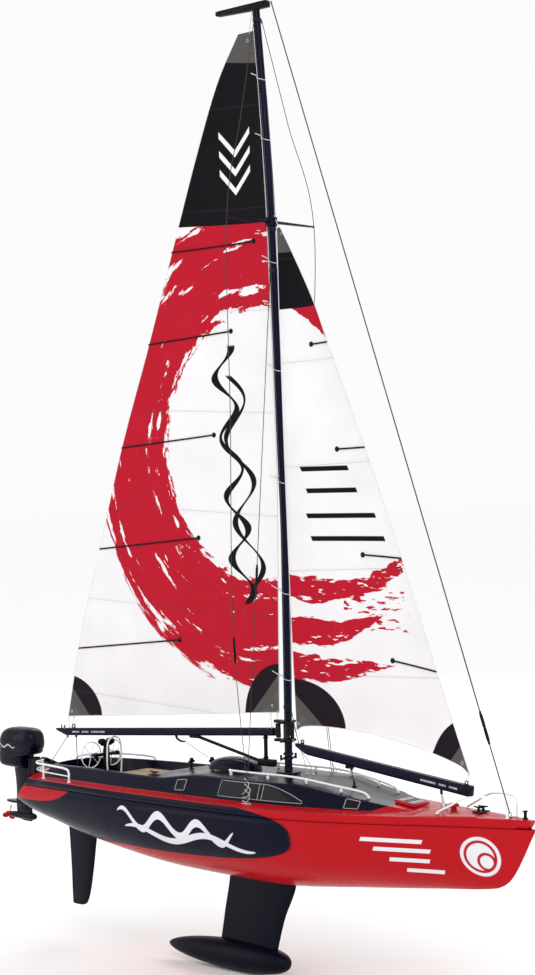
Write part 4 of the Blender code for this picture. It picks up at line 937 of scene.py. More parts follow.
def window_pieces():
    """Long cabin windows with their trims, and the four square portlights."""
    aft, shoulder, nose, low, high = -0.052, 0.02, 0.083, 0.16, 0.9

    def upper(x):
        t = max(0.0, (x - shoulder) / (nose - shoulder))
        return high - (high - low - 0.1) * t ** 1.6

    for side, sign in SIDES:
        bm = bmesh.new()
        n = 30
        xs = [aft + (nose - aft) * k / n for k in range(n + 1)]
        skin(bm, [[on_side(x, low + (upper(x) - low) * s, sign, d) for s, d in
                   ((0, GAP), (0.03, 0.0009), (0.5, 0.0012), (0.97, 0.0009), (1, GAP))] for x in xs])
        piece(f"cabin_window_{side}", bm, "tint", "hull", (f"window_{side}",), smooth=30)
        bm = bmesh.new()
        edge = [on_side(aft + (nose - aft) * k / 24, low, sign, 0.0008) for k in range(25)]
        edge += [on_side(nose - (nose - aft) * k / 24, upper(nose - (nose - aft) * k / 24), sign, 0.0008)
                 for k in range(25)]
        bar(bm, edge, 0.00055, 8, closed=True)
        for x in (0.015, 0.0215):
            bar(bm, [on_side(x - 0.002 * s, low + (upper(x) - low) * s, sign, 0.0012) for s in (0.02, 0.5,
                                                                                                0.98)],
                0.0006, 8)
        piece(f"window_trim_{side}", bm, "trim", "hull")
        for spot, x0, x1, u0, u1 in (("aft", -0.1325, -0.115, 0.22, 0.78), ("fwd", 0.141, 0.16, 0.12, 0.88)):
            bm = bmesh.new()
            corners = [(x0, u0), (x1, u0), (x1, u1), (x0, u1)]
            skin(bm, [[on_side(x, u, sign, d) for x, u in corners] for d in (0.0, 0.0006)])
            ring = []
            for (xa, ua), (xb, ub) in zip(corners, corners[1:] + corners[:1]):
                ring += [on_side(xa + (xb - xa) * t, ua + (ub - ua) * t, sign, 0.0007)
                         for t in (0.06, 0.35, 0.65, 0.94)]
            bar(bm, ring, 0.0006, 8, 1, closed=True)
            piece(f"portlight_{spot}_{side}", bm, ["tint", "trim"], "hull")


def hatch_pieces():
    """Teak radio hatch, companion hood, and the red foredeck hatch with its pane."""
    bm = bmesh.new()
    x0, x1, half, z0, z1 = -0.3, -0.212, 0.034, 0.11, 0.12
    block(bm, (x0 + 0.001, -half + 0.001, z0), (x1 - 0.001, half - 0.001, z1 - 0.0016), 0.0003, 1, slot=1)
    planks = 9
    pitch = 2 * (half - 0.0045) / planks
    for k in range(planks):
        y = -half + 0.0045 + k * pitch
        block(bm, (x0 + 0.005, y + 0.0004, z1 - 0.0024), (x1 - 0.005, y + pitch - 0.0004, z1 - 0.0003),
              0.0004, 2)
    for low, high in (((x0, -half, z0), (x0 + 0.0046, half, z1)), ((x1 - 0.0046, -half, z0), (x1, half, z1)),
                      ((x0 + 0.0046, -half, z0), (x1 - 0.0046, -half + 0.0042, z1)),
                      ((x0 + 0.0046, half - 0.0042, z0), (x1 - 0.0046, half, z1))):
        block(bm, low, high, 0.0006, 2)
    piece("teak_hatch", bm, ["teak", "black"], "hull", ("cockpit_hatch",))

    bm = bmesh.new()
    x0, x1, half, z0, tall = -0.135, -0.057, 0.027, 0.1397, 0.015
    rings = []
    for k in range(33):
        t = -0.992 + 1.984 * k / 32
        s = (1 - abs(t) ** 2.3) ** (1 / 2.3)
        x = (x0 + x1) / 2 + (x1 - x0) / 2 * t
        rings.append([(x, half * s * math.cos(math.pi * i / 28),
                       z0 + tall * s * math.sin(math.pi * i / 28) ** 0.8) for i in range(29)])
    skin(bm, rings)
    piece("hood_shell", bm, "cabin", "hull", ("companion_hood",), smooth=50)
    bm = bmesh.new()
    rim = squircle((x0 + x1) / 2, 0, z0 + 0.0008, (x1 - x0) / 2 * 0.985, half * 0.985, 0.87, 48)
    bar(bm, rim, 0.001, 8, closed=True)
    piece("hood_rim", bm, "black", "hull")

    low = [(0.19, 0.0165), (0.221, 0.016)]
    base = [sheer(x) + raised(x) + 0.0015 + 0.0007 for x, _ in low]

    def on_hatch(s, t, lift):
        """s runs aft to forward, t from port to starboard across the lid."""
        x = low[0][0] + (low[1][0] - low[0][0]) * s
        half = low[0][1] + (low[1][1] - low[0][1]) * s
        z = base[0] + (base[1] - base[0]) * s + lift
        return Vector((x, half * t, z))

    bm = bmesh.new()
    levels = ((0.0, 1.0), (0.0022, 0.985), (0.003, 0.93), (0.0031, 0.86))
    rings = []
    for lift, inset in levels:
        edge = []
        for s0, t0, s1, t1 in ((0, -1, 1, -1), (1, -1, 1, 1), (1, 1, 0, 1), (0, 1, 0, -1)):
            for k in range(6):
                s, t = s0 + (s1 - s0) * (k + 0.25) / 6, t0 + (t1 - t0) * (k + 0.25) / 6
                edge.append(on_hatch(0.5 + (s - 0.5) * inset, t * inset, lift))
        rings.append(edge)
    skin(bm, rings)
    piece("foredeck_hatch_lid", bm, "deck_red", "hull", ("foredeck_hatch",))
    bm = bmesh.new()
    for s0, s1 in ((0.14, 0.34), (0.38, 0.58), (0.62, 0.86)):
        edge = [(s0, -0.74), (s1, -0.74), (s1, 0.74), (s0, 0.74)]
        skin(bm, [[on_hatch(s, t, lift) for s, t in edge] for lift in (0.0026, 0.0035)],
             slot=0 if s0 != 0.38 else 1)
    piece("foredeck_hatch_panes", bm, ["trim", "tint"], "hull")


# ---------------------------------------------------------------- foils
def blade(bm, sections, points=22, per_span=8):
    """A streamlined blade through sections of (z, nose x, tail x, thickness)."""
    dense = []
    for k in range(len(sections) - 1):
        for j in range(per_span):
            t = j / per_span
            z = sections[k][0] + (sections[k + 1][0] - sections[k][0]) * t
            dense.append([z] + [table(sections, z, c) for c in (1, 2, 3)])
    dense.append(list(sections[-1]))
    rings = []
    for z, nose, tail, thick in dense:
        upper = []
        for i in range(points):
            c = (1 - math.cos(math.pi * i / (points - 1))) / 2
            y = 5 * thick * (0.2969 * math.sqrt(c) - 0.126 * c - 0.3516 * c ** 2 + 0.2843 * c ** 3
                             - 0.1 * c ** 4)
            upper.append((nose - (nose - tail) * c, max(y, 0.00035)))
        rings.append([(x, y, z) for x, y in upper] + [(x, -y, z) for x, y in reversed(upper)])
    skin(bm, rings)


def foil_pieces():
    bm = bmesh.new()
    blade(bm, [(-0.1035, -0.029, -0.131, 0.0085), (-0.05, -0.012, -0.12, 0.0095),
               (-0.005, 0.009, -0.11, 0.0105), (0.012, 0.012, -0.108, 0.011)])
    piece("keel_blade", bm, "foil", "hull", ("keel_fin",), smooth=60)
    bm = bmesh.new()
    lathe(bm, (-0.006, 0, -0.107), (-0.222, 0, -0.001),
          [(0.222 * s, max(0.01715 * (4 * s ** 0.62 * (1 - s)) ** 0.55, 0.0006))
           for s in [0.5 - 0.5 * math.cos(math.pi * k / 40) for k in range(41)]], 40)
    piece("ballast_bulb", bm, "lead", "hull", ("keel_bulb",), smooth=60)
    bm = bmesh.new()
    blade(bm, [(-0.079, -0.406, -0.425, 0.0026), (-0.0765, -0.3985, -0.4265, 0.0034),
               (-0.07, -0.3935, -0.427, 0.0039), (-0.06, -0.3895, -0.4275, 0.0043),
               (-0.03, -0.3825, -0.4285, 0.0052), (0.01, -0.3755, -0.431, 0.0062),
               (0.033, -0.3715, -0.433, 0.0068)])
    bar(bm, [(RUDDER_X, 0, 0.03), (RUDDER_X, 0, 0.099)], 0.002, 16, slot=1)
    piece("rudder_foil", bm, ["foil", "steel"], "rudder", ("rudder_blade",), smooth=60)


# ---------------------------------------------------------------- mast, booms and standing rigging
MAST_BEND = [(0.1425, 0.0), (0.3, 0.0005), (0.43, 0.0005), (0.596, -0.0045), (0.752, -0.009),
             (0.854, -0.0125), (1.0, -0.0215), (1.131, -0.0325)]
MAST_R, MAST_TOP = 0.005, 1.131
MAIN_LOW, MAIN_TOP = Vector((-0.017, 0, 0.19)), Vector((-0.0475, 0, 1.108))
BOOM_FWD, BOOM_AFT = Vector((-0.023, 0, 0.1925)), Vector((-0.456, 0, 0.1642))
JIB_AFT, JIB_FWD = Vector((0.013, 0, 0.1753)), Vector((0.297, 0, 0.1423))
TIP_Y, SPREADER_Z = 0.081, 0.853


def mast_x(z):
    return table(MAST_BEND, z)


def mast_piece():
    bm = bmesh.new()
    rings = []
    for k in range(101):
        z = 0.1425 + (MAST_TOP - 0.1425) * k / 100
        ring = []
        for c, s in turns(36):
            groove = 0.0011 * math.exp(-(math.atan2(-s, -c) / 0.13) ** 2)
            ring.append((mast_x(z) + (MAST_R - groove) * c, (MAST_R - groove) * s, z))
        rings.append(ring)
    skin(bm, rings)
    piece("mast_tube", bm, "mast", "hull", ("mast",), smooth=50)
    bm = bmesh.new()
    for z in (0.1465, 0.226, 0.79, 0.844, 1.118):
        x = mast_x(z)
        post(bm, (x, 0, z - 0.0024), [(0, MAST_R - 0.0002), (0.0002, MAST_R + 0.0006),
                                      (0.0046, MAST_R + 0.0006), (0.0048, MAST_R - 0.0002)], 32)
    for sign in (-1, 1):
        for z in (1.118, 0.79):
            x = mast_x(z)
            bar(bm, [(x + 0.002, sign * 0.005, z), (x + 0.002, sign * 0.0066, z - 0.003)], 0.0009, 8)
    piece("mast_bands", bm, "black", "hull")

    bm = bmesh.new()
    top = MAST_TOP + 0.0003
    plate(bm, [(-0.01, top + 0.0012), (-0.0115, top + 0.009), (-0.014, top + 0.0095), (-0.1, top + 0.0095),
               (-0.104, top + 0.0085), (-0.104, top + 0.0035), (-0.101, top + 0.0025), (-0.046, top),
               (-0.012, top)], 0.0038, bevel=0.0009)
    for x in (-0.0985, -0.079, -0.06):
        for sign in (-1, 1):
            screw(bm, (x, sign * 0.0038, top + 0.0062), (0, sign, 0), 0.0012)
    piece("masthead_arm", bm, "black", "hull", ("masthead_crane",))

    bm = bmesh.new()
    x0 = mast_x(SPREADER_Z)
    rings = []
    for k in range(41):
        y = TIP_Y * (k - 20) / 20
        s = abs(y) / TIP_Y
        half_x, half_z = 0.0046 - 0.0018 * s, 0.0022 - 0.0009 * s
        close = 1.0 if k not in (0, 40) else 0.55
        rings.append([(x0 + half_x * close * c, y, SPREADER_Z + half_z * close * s) for c, s in turns(20)])
    skin(bm, rings)
    post(bm, (x0 + 0.0004, 0, SPREADER_Z - 0.0062), [(0, MAST_R + 0.0012), (0.0006, MAST_R + 0.0026),
                                                     (0.0118, MAST_R + 0.0026), (0.0124, MAST_R + 0.0012)],
         32)
    for sign in (-1, 1):
        ball(bm, (x0, sign * (TIP_Y + 0.0002), SPREADER_Z), 0.0017, 14)
        screw(bm, (x0 + 0.0077, 0, SPREADER_Z + 0.003 * sign), (1, 0, 0), 0.0012)
    piece("spreaders", bm, "mast", "hull", ("spreader_bar",))


def turnbuckle(name, low, high, look, radius=0.0017):
    """A wire tensioner: closed body with a locking nut and an eye at each end."""
    low, high = Vector(low), Vector(high)
    along, length = (high - low).normalized(), (high - low).length
    bm = bmesh.new()
    lathe(bm, low, along, [(0, 0.0006), (0.0015, 0.0007), (0.0016, radius * 0.8), (0.004, radius),
                           (length * 0.46, radius), (length * 0.47, radius * 0.82),
                           (length * 0.53, radius * 0.82),
                           (length * 0.54, radius), (length - 0.004, radius),
                           (length - 0.0016, radius * 0.8),
                           (length - 0.0015, 0.0007), (length, 0.0006)], 16)
    for at in (low, high):
        hoop(bm, at, Vector((0, 1, 0)) if abs(along.y) < 0.5 else Vector((1, 0, 0)), 0.0015, 0.00045, 18, 6)
    piece(name, bm, look, "hull")


def stay_pieces():
    """Standing wires, their tensioners, tangs and deck plates."""
    def wire(name, points, radius, node=None):
        bm = bmesh.new()
        bar(bm, points, radius, 10)
        return piece(name, bm, "wire", "hull", (node,) if node else ())

    head = Vector((-0.0055, 0, MAST_TOP + 0.006))
    stem = Vector((0.3535, 0, 0.1215))
    wire("forestay_wire", evenly([head, stem], 0.02), 0.0008, "forestay")
    turnbuckle("forestay_tensioner", head.lerp(stem, 0.886), head.lerp(stem, 0.921), "black", radius=0.002)
    for side, sign, upper, lower in (("starboard", -1, 0.089, 0.096), ("port", 1, 0.064, 0.062)):
        foot = Vector((0.007, sign * CHAINPLATE_Y, 0.113))
        tip = Vector((mast_x(SPREADER_Z), sign * (TIP_Y + 0.0012), SPREADER_Z))
        top = Vector((-0.0295, sign * 0.0065, 1.12))
        cap = [top, top.lerp(tip, 0.5), tip, (-0.006, sign * upper, 0.6), (-0.001, sign * lower, 0.33), foot]
        line = catmull(cap, 12)
        wire(f"cap_wire_{side}", line, 0.0005, f"cap_shroud_{side}")
        near = [p for p in line if 0.285 < p.z < 0.335]
        lo, hi = min(near, key=lambda p: p.z), max(near, key=lambda p: p.z)
        turnbuckle(f"cap_tensioner_{side}", lo, lo + (hi - lo).normalized() * 0.03, "black")
        low_top = Vector((mast_x(0.79), sign * (MAST_R + 0.0012), 0.79))
        low_foot = foot + Vector((-0.004, 0, 0))
        wire(f"lower_wire_{side}", evenly([low_top, low_foot], 0.02), 0.0005, f"lower_shroud_{side}")
        turnbuckle(f"lower_tensioner_{side}", low_top.lerp(low_foot, 0.562), low_top.lerp(low_foot, 0.603),
                   "black")
        bm = bmesh.new()
        deck = sheer(0.0) + 0.0006
        block(bm, (-0.004, sign * CHAINPLATE_Y - 0.003, deck),
              (0.0125, sign * CHAINPLATE_Y + 0.003, deck + 0.001), 0.0004,
              2)
        for x in (0.003, 0.007):
            hoop(bm, (x, sign * CHAINPLATE_Y, deck + 0.0014), (1, 0, 0), 0.0016, 0.0005, 18, 6, math.pi)
        for x in (-0.002, 0.0105):
            screw(bm, (x, sign * CHAINPLATE_Y, deck + 0.001), (0, 0, 1), 0.0009)
        piece(f"chainplate_{side}", bm, "steel", "hull")
        bm = bmesh.new()
        for k, wide in enumerate((0.004, 0.0065, 0.0052)):
            start = foot + Vector((-0.0065, sign * 0.0006, 0.03 - 0.007 * k))
            loop = [start, start + Vector((0.004 + wide, sign * 0.001, -0.006)),
                    start + Vector((wide, sign * 0.0016, -0.015)),
                    start + Vector((-0.003, sign * 0.0012, -0.02 + 0.003 * k))]
            bar(bm, catmull(loop, 8), 0.00045, 8)
        piece(f"lashing_{side}", bm, "cord_pale", "hull")
    bm = bmesh.new()
    deck = plain_deck_z(0.3535, 0)
    block(bm, (0.3485, -0.003, deck), (0.3585, 0.003, deck + 0.0012), 0.0004, 2)
    hoop(bm, (0.3535, 0, deck + 0.003), (0, 1, 0), 0.0024, 0.0006, 20, 8)
    for x in (0.35, 0.357):
        screw(bm, (x, 0, deck + 0.0012), (0, 0, 1), 0.0009)
    piece("stem_plate", bm, "steel", "hull")
    bm = bmesh.new()
    post(bm, (-0.4562, -0.0202, 0.1088), [(0, 0.0026), (0.001, 0.0026), (0.0012, 0.0012), (0.0022, 0.001)],
         18)
    hoop(bm, (-0.4562, -0.0202, 0.112), (0, 1, 0), 0.0014, 0.0005, 16, 8)
    piece("stern_eye", bm, "steel", "hull")
    bm = bmesh.new()
    hoop(bm, (-0.0055, 0, MAST_TOP + 0.005), (0, 1, 0), 0.002, 0.0006, 18, 8)
    piece("masthead_shackles", bm, "steel", "hull")


def spar(bm, start, end, half_y, half_z, stations, taper=None):
    """A boom of rounded-square section with a slot along its top."""
    start, end = Vector(start), Vector(end)
    along = (end - start).normalized()
    up = (along.cross(Vector((0, 1, 0)))).normalized()
    if up.z < 0:
        up = -up
    rings = []
    for k in range(stations + 1):
        t = k / stations
        s = taper(t) if taper else (1.0, 0.0)
        centre = start.lerp(end, t) + up * s[1]
        ring = []
        for i, (y, z, _) in enumerate(squircle(0, 0, 0, half_y * s[0], half_z * s[0], 0.42, 32)):
            if i in (7, 8, 9):
                z -= 0.0006
            ring.append(centre + Vector((0, y, 0)) + up * z)
        rings.append(ring)
    skin(bm, rings)


def main_boom_pieces():
    def taper(t):
        t = max(0.0, (t - 0.945) / 0.055)
        return 1.0 - 0.72 * t, 0.0038 * t
    bm = bmesh.new()
    spar(bm, BOOM_FWD, BOOM_AFT, 0.0046, 0.0053, 72, taper)
    low, high = MAIN_LOW.lerp(MAIN_TOP, -0.0052), MAIN_LOW.lerp(MAIN_TOP, 0.015)
    lathe(bm, low, high - low, [(0, 0.0022), (0.0004, 0.0034), (0.0182, 0.0034), (0.0186, 0.0022)], 24, 1)
    mid = MAIN_LOW.lerp(MAIN_TOP, 0.0036)
    block(bm, (mid.x - 0.0075, -0.0026, mid.z - 0.004), (mid.x + 0.0005, 0.0026, mid.z + 0.004), 0.0006, 2,
          slot=1)
    piece("boom_main", bm, ["mast", "black"], "main_rig", ("main_boom",))

    bm = bmesh.new()
    run = BOOM_AFT - BOOM_FWD
    at = BOOM_FWD + run * 0.968
    for dx in (-0.003, 0.003):
        bar(bm, [at + Vector((dx, 0, 0.0045)), at + Vector((dx, 0, 0.0092))], 0.0009, 10)
    hoop(bm, BOOM_FWD + run * 0.915 + Vector((0, 0, 0.008)), (0, 1, 0), 0.0026, 0.0008, 20, 8)
    for share in (0.903, 0.946):
        hoop(bm, BOOM_FWD + run * share + Vector((0, 0, -0.0066)), (0, 1, 0), 0.0016, 0.0006, 18, 8)
    heel = BOOM_FWD + run * 0.335
    block(bm, heel + Vector((-0.012, -0.003, -0.0088)), heel + Vector((0.005, 0.003, -0.0048)), 0.0008, 2)
    piece("boom_fittings", bm, "black", "main_rig")
    bm = bmesh.new()
    at = Vector((-0.209, 0, 0.177))
    line = catmull([at, at + Vector((0.003, 0, -0.006)), at + Vector((0.011, 0, -0.009)),
                    at + Vector((0.018, 0, -0.0088))], 8)
    bar(bm, line, lambda t: 0.0018 - 0.0007 * t, 10)
    piece("boom_hook", bm, "black", "main_rig")
    bm = bmesh.new()
    bar(bm, evenly([(-0.1915, 0, 0.168), (-0.148, 0, 0.1505)], 0.002), 0.0004, 8)
    tail = piece("boom_hook_line", bm, "rope", None)
    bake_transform(tail)

    bm = bmesh.new()
    block(bm, (-0.052, -0.0045, 0.1467), (-0.024, 0.0045, 0.1558), 0.0011, 3)
    bar(bm, [(-0.04, 0, 0.1545), (-0.04, 0, 0.187)], 0.0026, 18)
    for z in (0.1575, 0.1835):
        post(bm, (-0.04, 0, z - 0.0012), [(0, 0.0028), (0.0004, 0.0036), (0.0022, 0.0036), (0.0026, 0.0028)],
             20)
    spar(bm, (-0.048, 0, 0.152), (-0.166, 0, 0.1765), 0.002, 0.0018, 10)
    for sign in (-1, 1):
        screw(bm, (-0.046, sign * 0.0045, 0.1512), (0, sign, 0), 0.0013)
        screw(bm, (-0.029, sign * 0.0045, 0.1512), (0, sign, 0), 0.0013)
    piece("vang", bm, "black", "main_rig", ("boom_vang",))

    bm = bmesh.new()
    for z0, z1 in ((0.1805, 0.1844), (0.2046, 0.2085)):
        post(bm, (0, 0, z0), [(0, 0.0072), (0.0005, 0.0084), (z1 - z0 - 0.0005, 0.0084), (z1 - z0, 0.0072)],
             32)
        block(bm, (-0.0213, -0.0044, z0), (-0.004, 0.0044, z1), 0.0007, 2)
        for sign in (-1, 1):
            block(bm, (-0.0015, sign * 0.0115 - 0.003, z0 + 0.0003),
                  (0.0015, sign * 0.0115 + 0.003, z1 - 0.0003), 0.0006, 2)
            screw(bm, (0.0015, sign * 0.012, (z0 + z1) / 2), (1, 0, 0), 0.0011)
    post(bm, (0, 0, 0.1842), [(0, 0.006), (0.0206, 0.006)], 28)
    block(bm, (0.004, -0.003, 0.182), (0.0088, 0.003, 0.207), 0.0008, 2)
    piece("gooseneck", bm, "black", "hull", ("gooseneck_bracket",))
    bm = bmesh.new()
    for z in (0.16, 0.1655):
        post(bm, (0, 0, z - 0.0016), [(0, 0.0058), (0.0004, 0.0068), (0.0028, 0.0068), (0.0032, 0.0058)], 30)
    for sign in (-1, 1):
        block(bm, (-0.0012, sign * 0.0105 - 0.0042, 0.1588), (0.0012, sign * 0.0105 + 0.0042, 0.1612),
              0.0006, 2)
        post(bm, (0, sign * 0.0138, 0.158), [(0, 0.001), (0.0004, 0.0016), (0.007, 0.0016), (0.0074, 0.001)],
             16)
    piece("halyard_cleats", bm, "black", "hull")


def boom_stripe(name, start, end, half_y, body):
    """A pale broken stripe on both sides of a boom."""
    bm = bmesh.new()
    for sign in (-1, 1):
        for a, b in ((0.0, 0.42), (0.5, 0.7), (0.78, 1.0)):
            rings = [[at + Vector((0, sign * y, z)) for y, z in
                      ((half_y - 0.0002, -0.0012), (half_y + 0.0002, -0.0012),
                       (half_y + 0.0002, 0.0012), (half_y - 0.0002, 0.0012))]
                     for at in (start.lerp(end, a), start.lerp(end, b))]
            skin(bm, rings)
    piece(name, bm, "dial", body)


def jib_boom_pieces():
    def taper(t):
        aft = max(0.0, (0.075 - t) / 0.075)
        return (0.93 + 0.12 * t) * (1.0 - 0.66 * aft), 0.003 * aft

    def boom_z(x):
        return JIB_AFT.z + (JIB_FWD.z - JIB_AFT.z) * (x - JIB_AFT.x) / (JIB_FWD.x - JIB_AFT.x)

    bm = bmesh.new()
    spar(bm, JIB_AFT, JIB_FWD, 0.0052, 0.0064, 48, taper)
    piece("boom_jib", bm, "mast", "jib_rig", ("jib_boom",))
    bm = bmesh.new()
    lathe(bm, (0.2517, 0, 0.1346), (-0.05, 0, 1), [(0, 0.001), (0.0004, 0.0017), (0.007, 0.0017),
                                                   (0.0074, 0.001)], 20)
    end = JIB_FWD + Vector((-0.0125, 0, 0.0012))
    lathe(bm, end, JIB_FWD - JIB_AFT, [(0, 0.0064), (0.0004, 0.0071), (0.0095, 0.0071), (0.0118, 0.006),
                                       (0.0128, 0.003),
                                       (0.013, 0.0003)], 28)
    for x in (0.025, 0.29):
        hoop(bm, (x, 0, boom_z(x) + 0.0088), (0, 1, 0), 0.0021, 0.0008, 18, 8)
        block(bm, (x - 0.0022, -0.0016, boom_z(x) + 0.0055), (x + 0.0022, 0.0016, boom_z(x) + 0.0076),
              0.0005, 2)
    z = boom_z(0.108)
    block(bm, (0.099, -0.0024, z - 0.0098), (0.1105, 0.0024, z - 0.0058), 0.0008, 2)
    hoop(bm, (0.108, 0, z - 0.0106), (0, 1, 0), 0.0014, 0.0006, 16, 8)
    piece("jib_boom_fittings", bm, "black", "jib_rig")


# ---------------------------------------------------------------- sails
MAIN_LEECH = [(-0.43, 0.188), (-0.405, 0.286), (-0.356, 0.428), (-0.306, 0.569), (-0.247, 0.709),
              (-0.198, 0.831), (-0.15, 0.95), (-0.104, 1.05), (-0.066, 1.105)]
JIB_LUFF = [(0.2956, 0.1617), (0.2482, 0.2822), (0.1967, 0.4183), (0.1404, 0.5571), (0.0804, 0.6941),
            (0.0611, 0.7398), (0.0231, 0.8108), (0.003, 0.845)]
JIB_LEECH = [(0.0155, 0.197), (0.011, 0.3), (0.0066, 0.428), (0.0027, 0.562), (-0.0002, 0.697),
             (-0.0014, 0.741), (-0.0026, 0.811), (-0.0032, 0.844)]
JIB_FOOT_RISE = 0.019


def main_edges(s):
    """Luff and leech points (x, z) at share s of the way up."""
    z = 0.188 + (1.105 - 0.188) * s
    rows = [(b, a) for a, b in MAIN_LEECH]
    leech = (table(rows, z), z)
    level = 0.218 + (1.105 - 0.218) * s
    snug = 0.0033 * min(1.0, 3 * s)
    return (min(mast_x(level) - 0.0105 + snug, -0.0125 + snug) - 0.002 * (1 - s), level), leech


def jib_edges(s):
    low = 0.1617 + (0.845 - 0.1617) * s
    high = 0.197 + (0.844 - 0.197) * s
    return ((table([(b, a) for a, b in JIB_LUFF], low), low),
            (table([(b, a) for a, b in JIB_LEECH], high), high))


def sail_point(edges, s, t, belly):
    (x0, z0), (x1, z1) = edges(s)
    full = math.sin(math.pi * min(max(s, 0.0), 1.0)) ** 0.5 if 0 < s < 1 else 0.0
    y = belly * full * math.sin(math.pi * max(t, 0.0) ** 0.8) if 0 < t < 1 else 0.0
    rise = 0.0
    if edges is jib_edges and 0 < t < 1:
        rise = JIB_FOOT_RISE * max(0.0, 1 - s * 5) ** 1.5 * math.sin(math.pi * t) ** 0.5
    return Vector((x0 + (x1 - x0) * t, y, z0 + (z1 - z0) * t + rise))


def at_xz(edges, x, z, belly):
    """The sail's own point at a place in the side view."""
    s, t = 0.5, 0.5
    for _ in range(40):
        p = sail_point(edges, s, t, 0)
        t = min(max(t + (x - p.x) / (edges(s)[1][0] - edges(s)[0][0]), 0.0), 1.0)
        s = min(max(s + (z - sail_point(edges, s, t, 0).z) / 0.8, 0.0), 1.0)
    return sail_point(edges, s, t, belly)


def sail_pieces(name, edges, belly, look, body, node, battens):
    """The cloth, its rolled edges, corner eyelets and battens."""
    bm = bmesh.new()
    rows, across, thick = 110, 36, 0.00035
    sides = []
    for off in (-thick / 2, thick / 2):
        sides.append([[bm.verts.new(sail_point(edges, r / rows, c / across, belly) + Vector((0, off, 0)))
                       for c in range(across + 1)] for r in range(rows + 1)])
    for grid in sides:
        for r in range(rows):
            for c in range(across):
                bm.faces.new((grid[r][c], grid[r][c + 1], grid[r + 1][c + 1], grid[r + 1][c]))
    rim = [(0, c) for c in range(across)] + [(r, across) for r in range(rows)]
    rim += [(rows, c) for c in range(across, 0, -1)] + [(r, 0) for r in range(rows, 0, -1)]
    for (r, c), (r2, c2) in zip(rim, rim[1:] + rim[:1]):
        bm.faces.new((sides[0][r][c], sides[0][r2][c2], sides[1][r2][c2], sides[1][r][c]))
    edge = [sail_point(edges, r / rows, c / across, 0) for r, c in rim]
    sheet = piece(f"{name}_cloth", bm, look, body, (node,), smooth=60)
    bm = bmesh.new()
    for line in ([sail_point(edges, r / 60, 0, belly) for r in range(61)],
                 [sail_point(edges, r / 60, 1, belly) for r in range(61)],
                 [sail_point(edges, 0, c / 24, belly) for c in range(25)]):
        bar(bm, line, 0.00055, 8)
    hem = piece(f"{name}_hems", bm, "hem", body)
    bm = bmesh.new()
    for s, t in ((0.01, 0.03), (0.008, 0.985), (0.988, 0.35)):
        p = sail_point(edges, s, t, belly)
        for sign in (-1, 1):
            hoop(bm, p + Vector((0, sign * 0.0004, 0)), (0, 1, 0), 0.0019, 0.0005, 20, 8)
    eyes = piece(f"{name}_eyelets", bm, "steel", body)
    bm = bmesh.new()
    for (x0, z0), (x1, z1) in battens:
        line = [at_xz(edges, x0 + (x1 - x0) * k / 14, z0 + (z1 - z0) * k / 14, belly) for k in range(15)]
        for sign in (-1, 1):
            run = [p + Vector((0, sign * 0.0006, 0)) for p in line]
            bar(bm, run, 0.0011, 8)
            end = run[-1]
            lathe(bm, end - Vector((0, sign * 0.0006, 0)), (0, sign, 0),
                  [(0, 0.0034), (0.0009, 0.0034), (0.0013, 0.0028), (0.0014, 0.0005)], 20)
    strips = piece(f"{name}_battens", bm, "black", body)
    return edge


def all_sails():
    sail_pieces("main_sail", main_edges, 0.006, "main_cloth", "main_rig", "mainsail",
                [((-0.2015, 0.8306), (-0.0476, 0.8318)), ((-0.25, 0.7087), (-0.0947, 0.7173)),
                 ((-0.3055, 0.5688), (-0.1302, 0.581)), ((-0.3555, 0.4278), (-0.1625, 0.4435)),
                 ((-0.404, 0.2864), (-0.2011, 0.305))])
    sail_pieces("jib_sail", jib_edges, 0.008, "jib_cloth", "jib_rig", "jib_sail",
                [((0.0795, 0.692), (0.0478, 0.6911)), ((0.1395, 0.557), (0.0871, 0.5561)),
                 ((0.195, 0.419), (0.1271, 0.4227)), ((0.247, 0.2825), (0.1744, 0.2924))])
    ties = {"main_rig": [((-0.429, 0.19), (-0.433, 0.1705)), ((-0.418, 0.1895), (-0.42, 0.172)),
                         ((-0.017, 0.22), (-0.025, 0.197)), ((-0.03, 0.217), (-0.033, 0.1965))],
            "jib_rig": [((0.018, 0.199), (0.025, 0.1825)), ((0.293, 0.164), (0.29, 0.152))]}
    for body, runs in ties.items():
        bm = bmesh.new()
        for (x0, z0), (x1, z1) in runs:
            for sign in (-1, 1):
                bar(bm, catmull([(x0, sign * 0.0004, z0),
                                 ((x0 + x1) / 2 + 0.0008, sign * 0.0022, (z0 + z1) / 2),
                                 (x1, sign * 0.0042, z1)], 6), 0.0004, 8)
        piece("corner_ties_" + body.split("_")[0], bm, "cord_pale", body)


def luff_rings():
    """Ties that hold the mainsail's luff to the mast."""
    for k, z in enumerate((1.04, 0.961, 0.801, 0.661, 0.516, 0.373, 0.262)):
        bm = bmesh.new()
        x = mast_x(z)
        tilt = Vector((0.35, 0, 1)).normalized()
        hoop(bm, (x, 0, z), tilt, MAST_R + 0.0006, 0.0005, 28, 8)
        s = (z - 0.218) / (1.105 - 0.218)
        luff = main_edges(s)[0]
        for sign in (-1, 1):
            bar(bm, catmull([(x + 0.002, sign * 0.0052, z - 0.0006), (x - 0.005, sign * 0.0038, z + 0.002),
                             (luff[0] + 0.0004, sign * 0.0016, z + 0.005),
                             (luff[0] - 0.0085, sign * 0.0034, z + 0.0095)],
                            5), 0.0006, 8)
        tie = piece(f"luff_tie_{k}", bm, "cord_pale", None)
        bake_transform(tie)


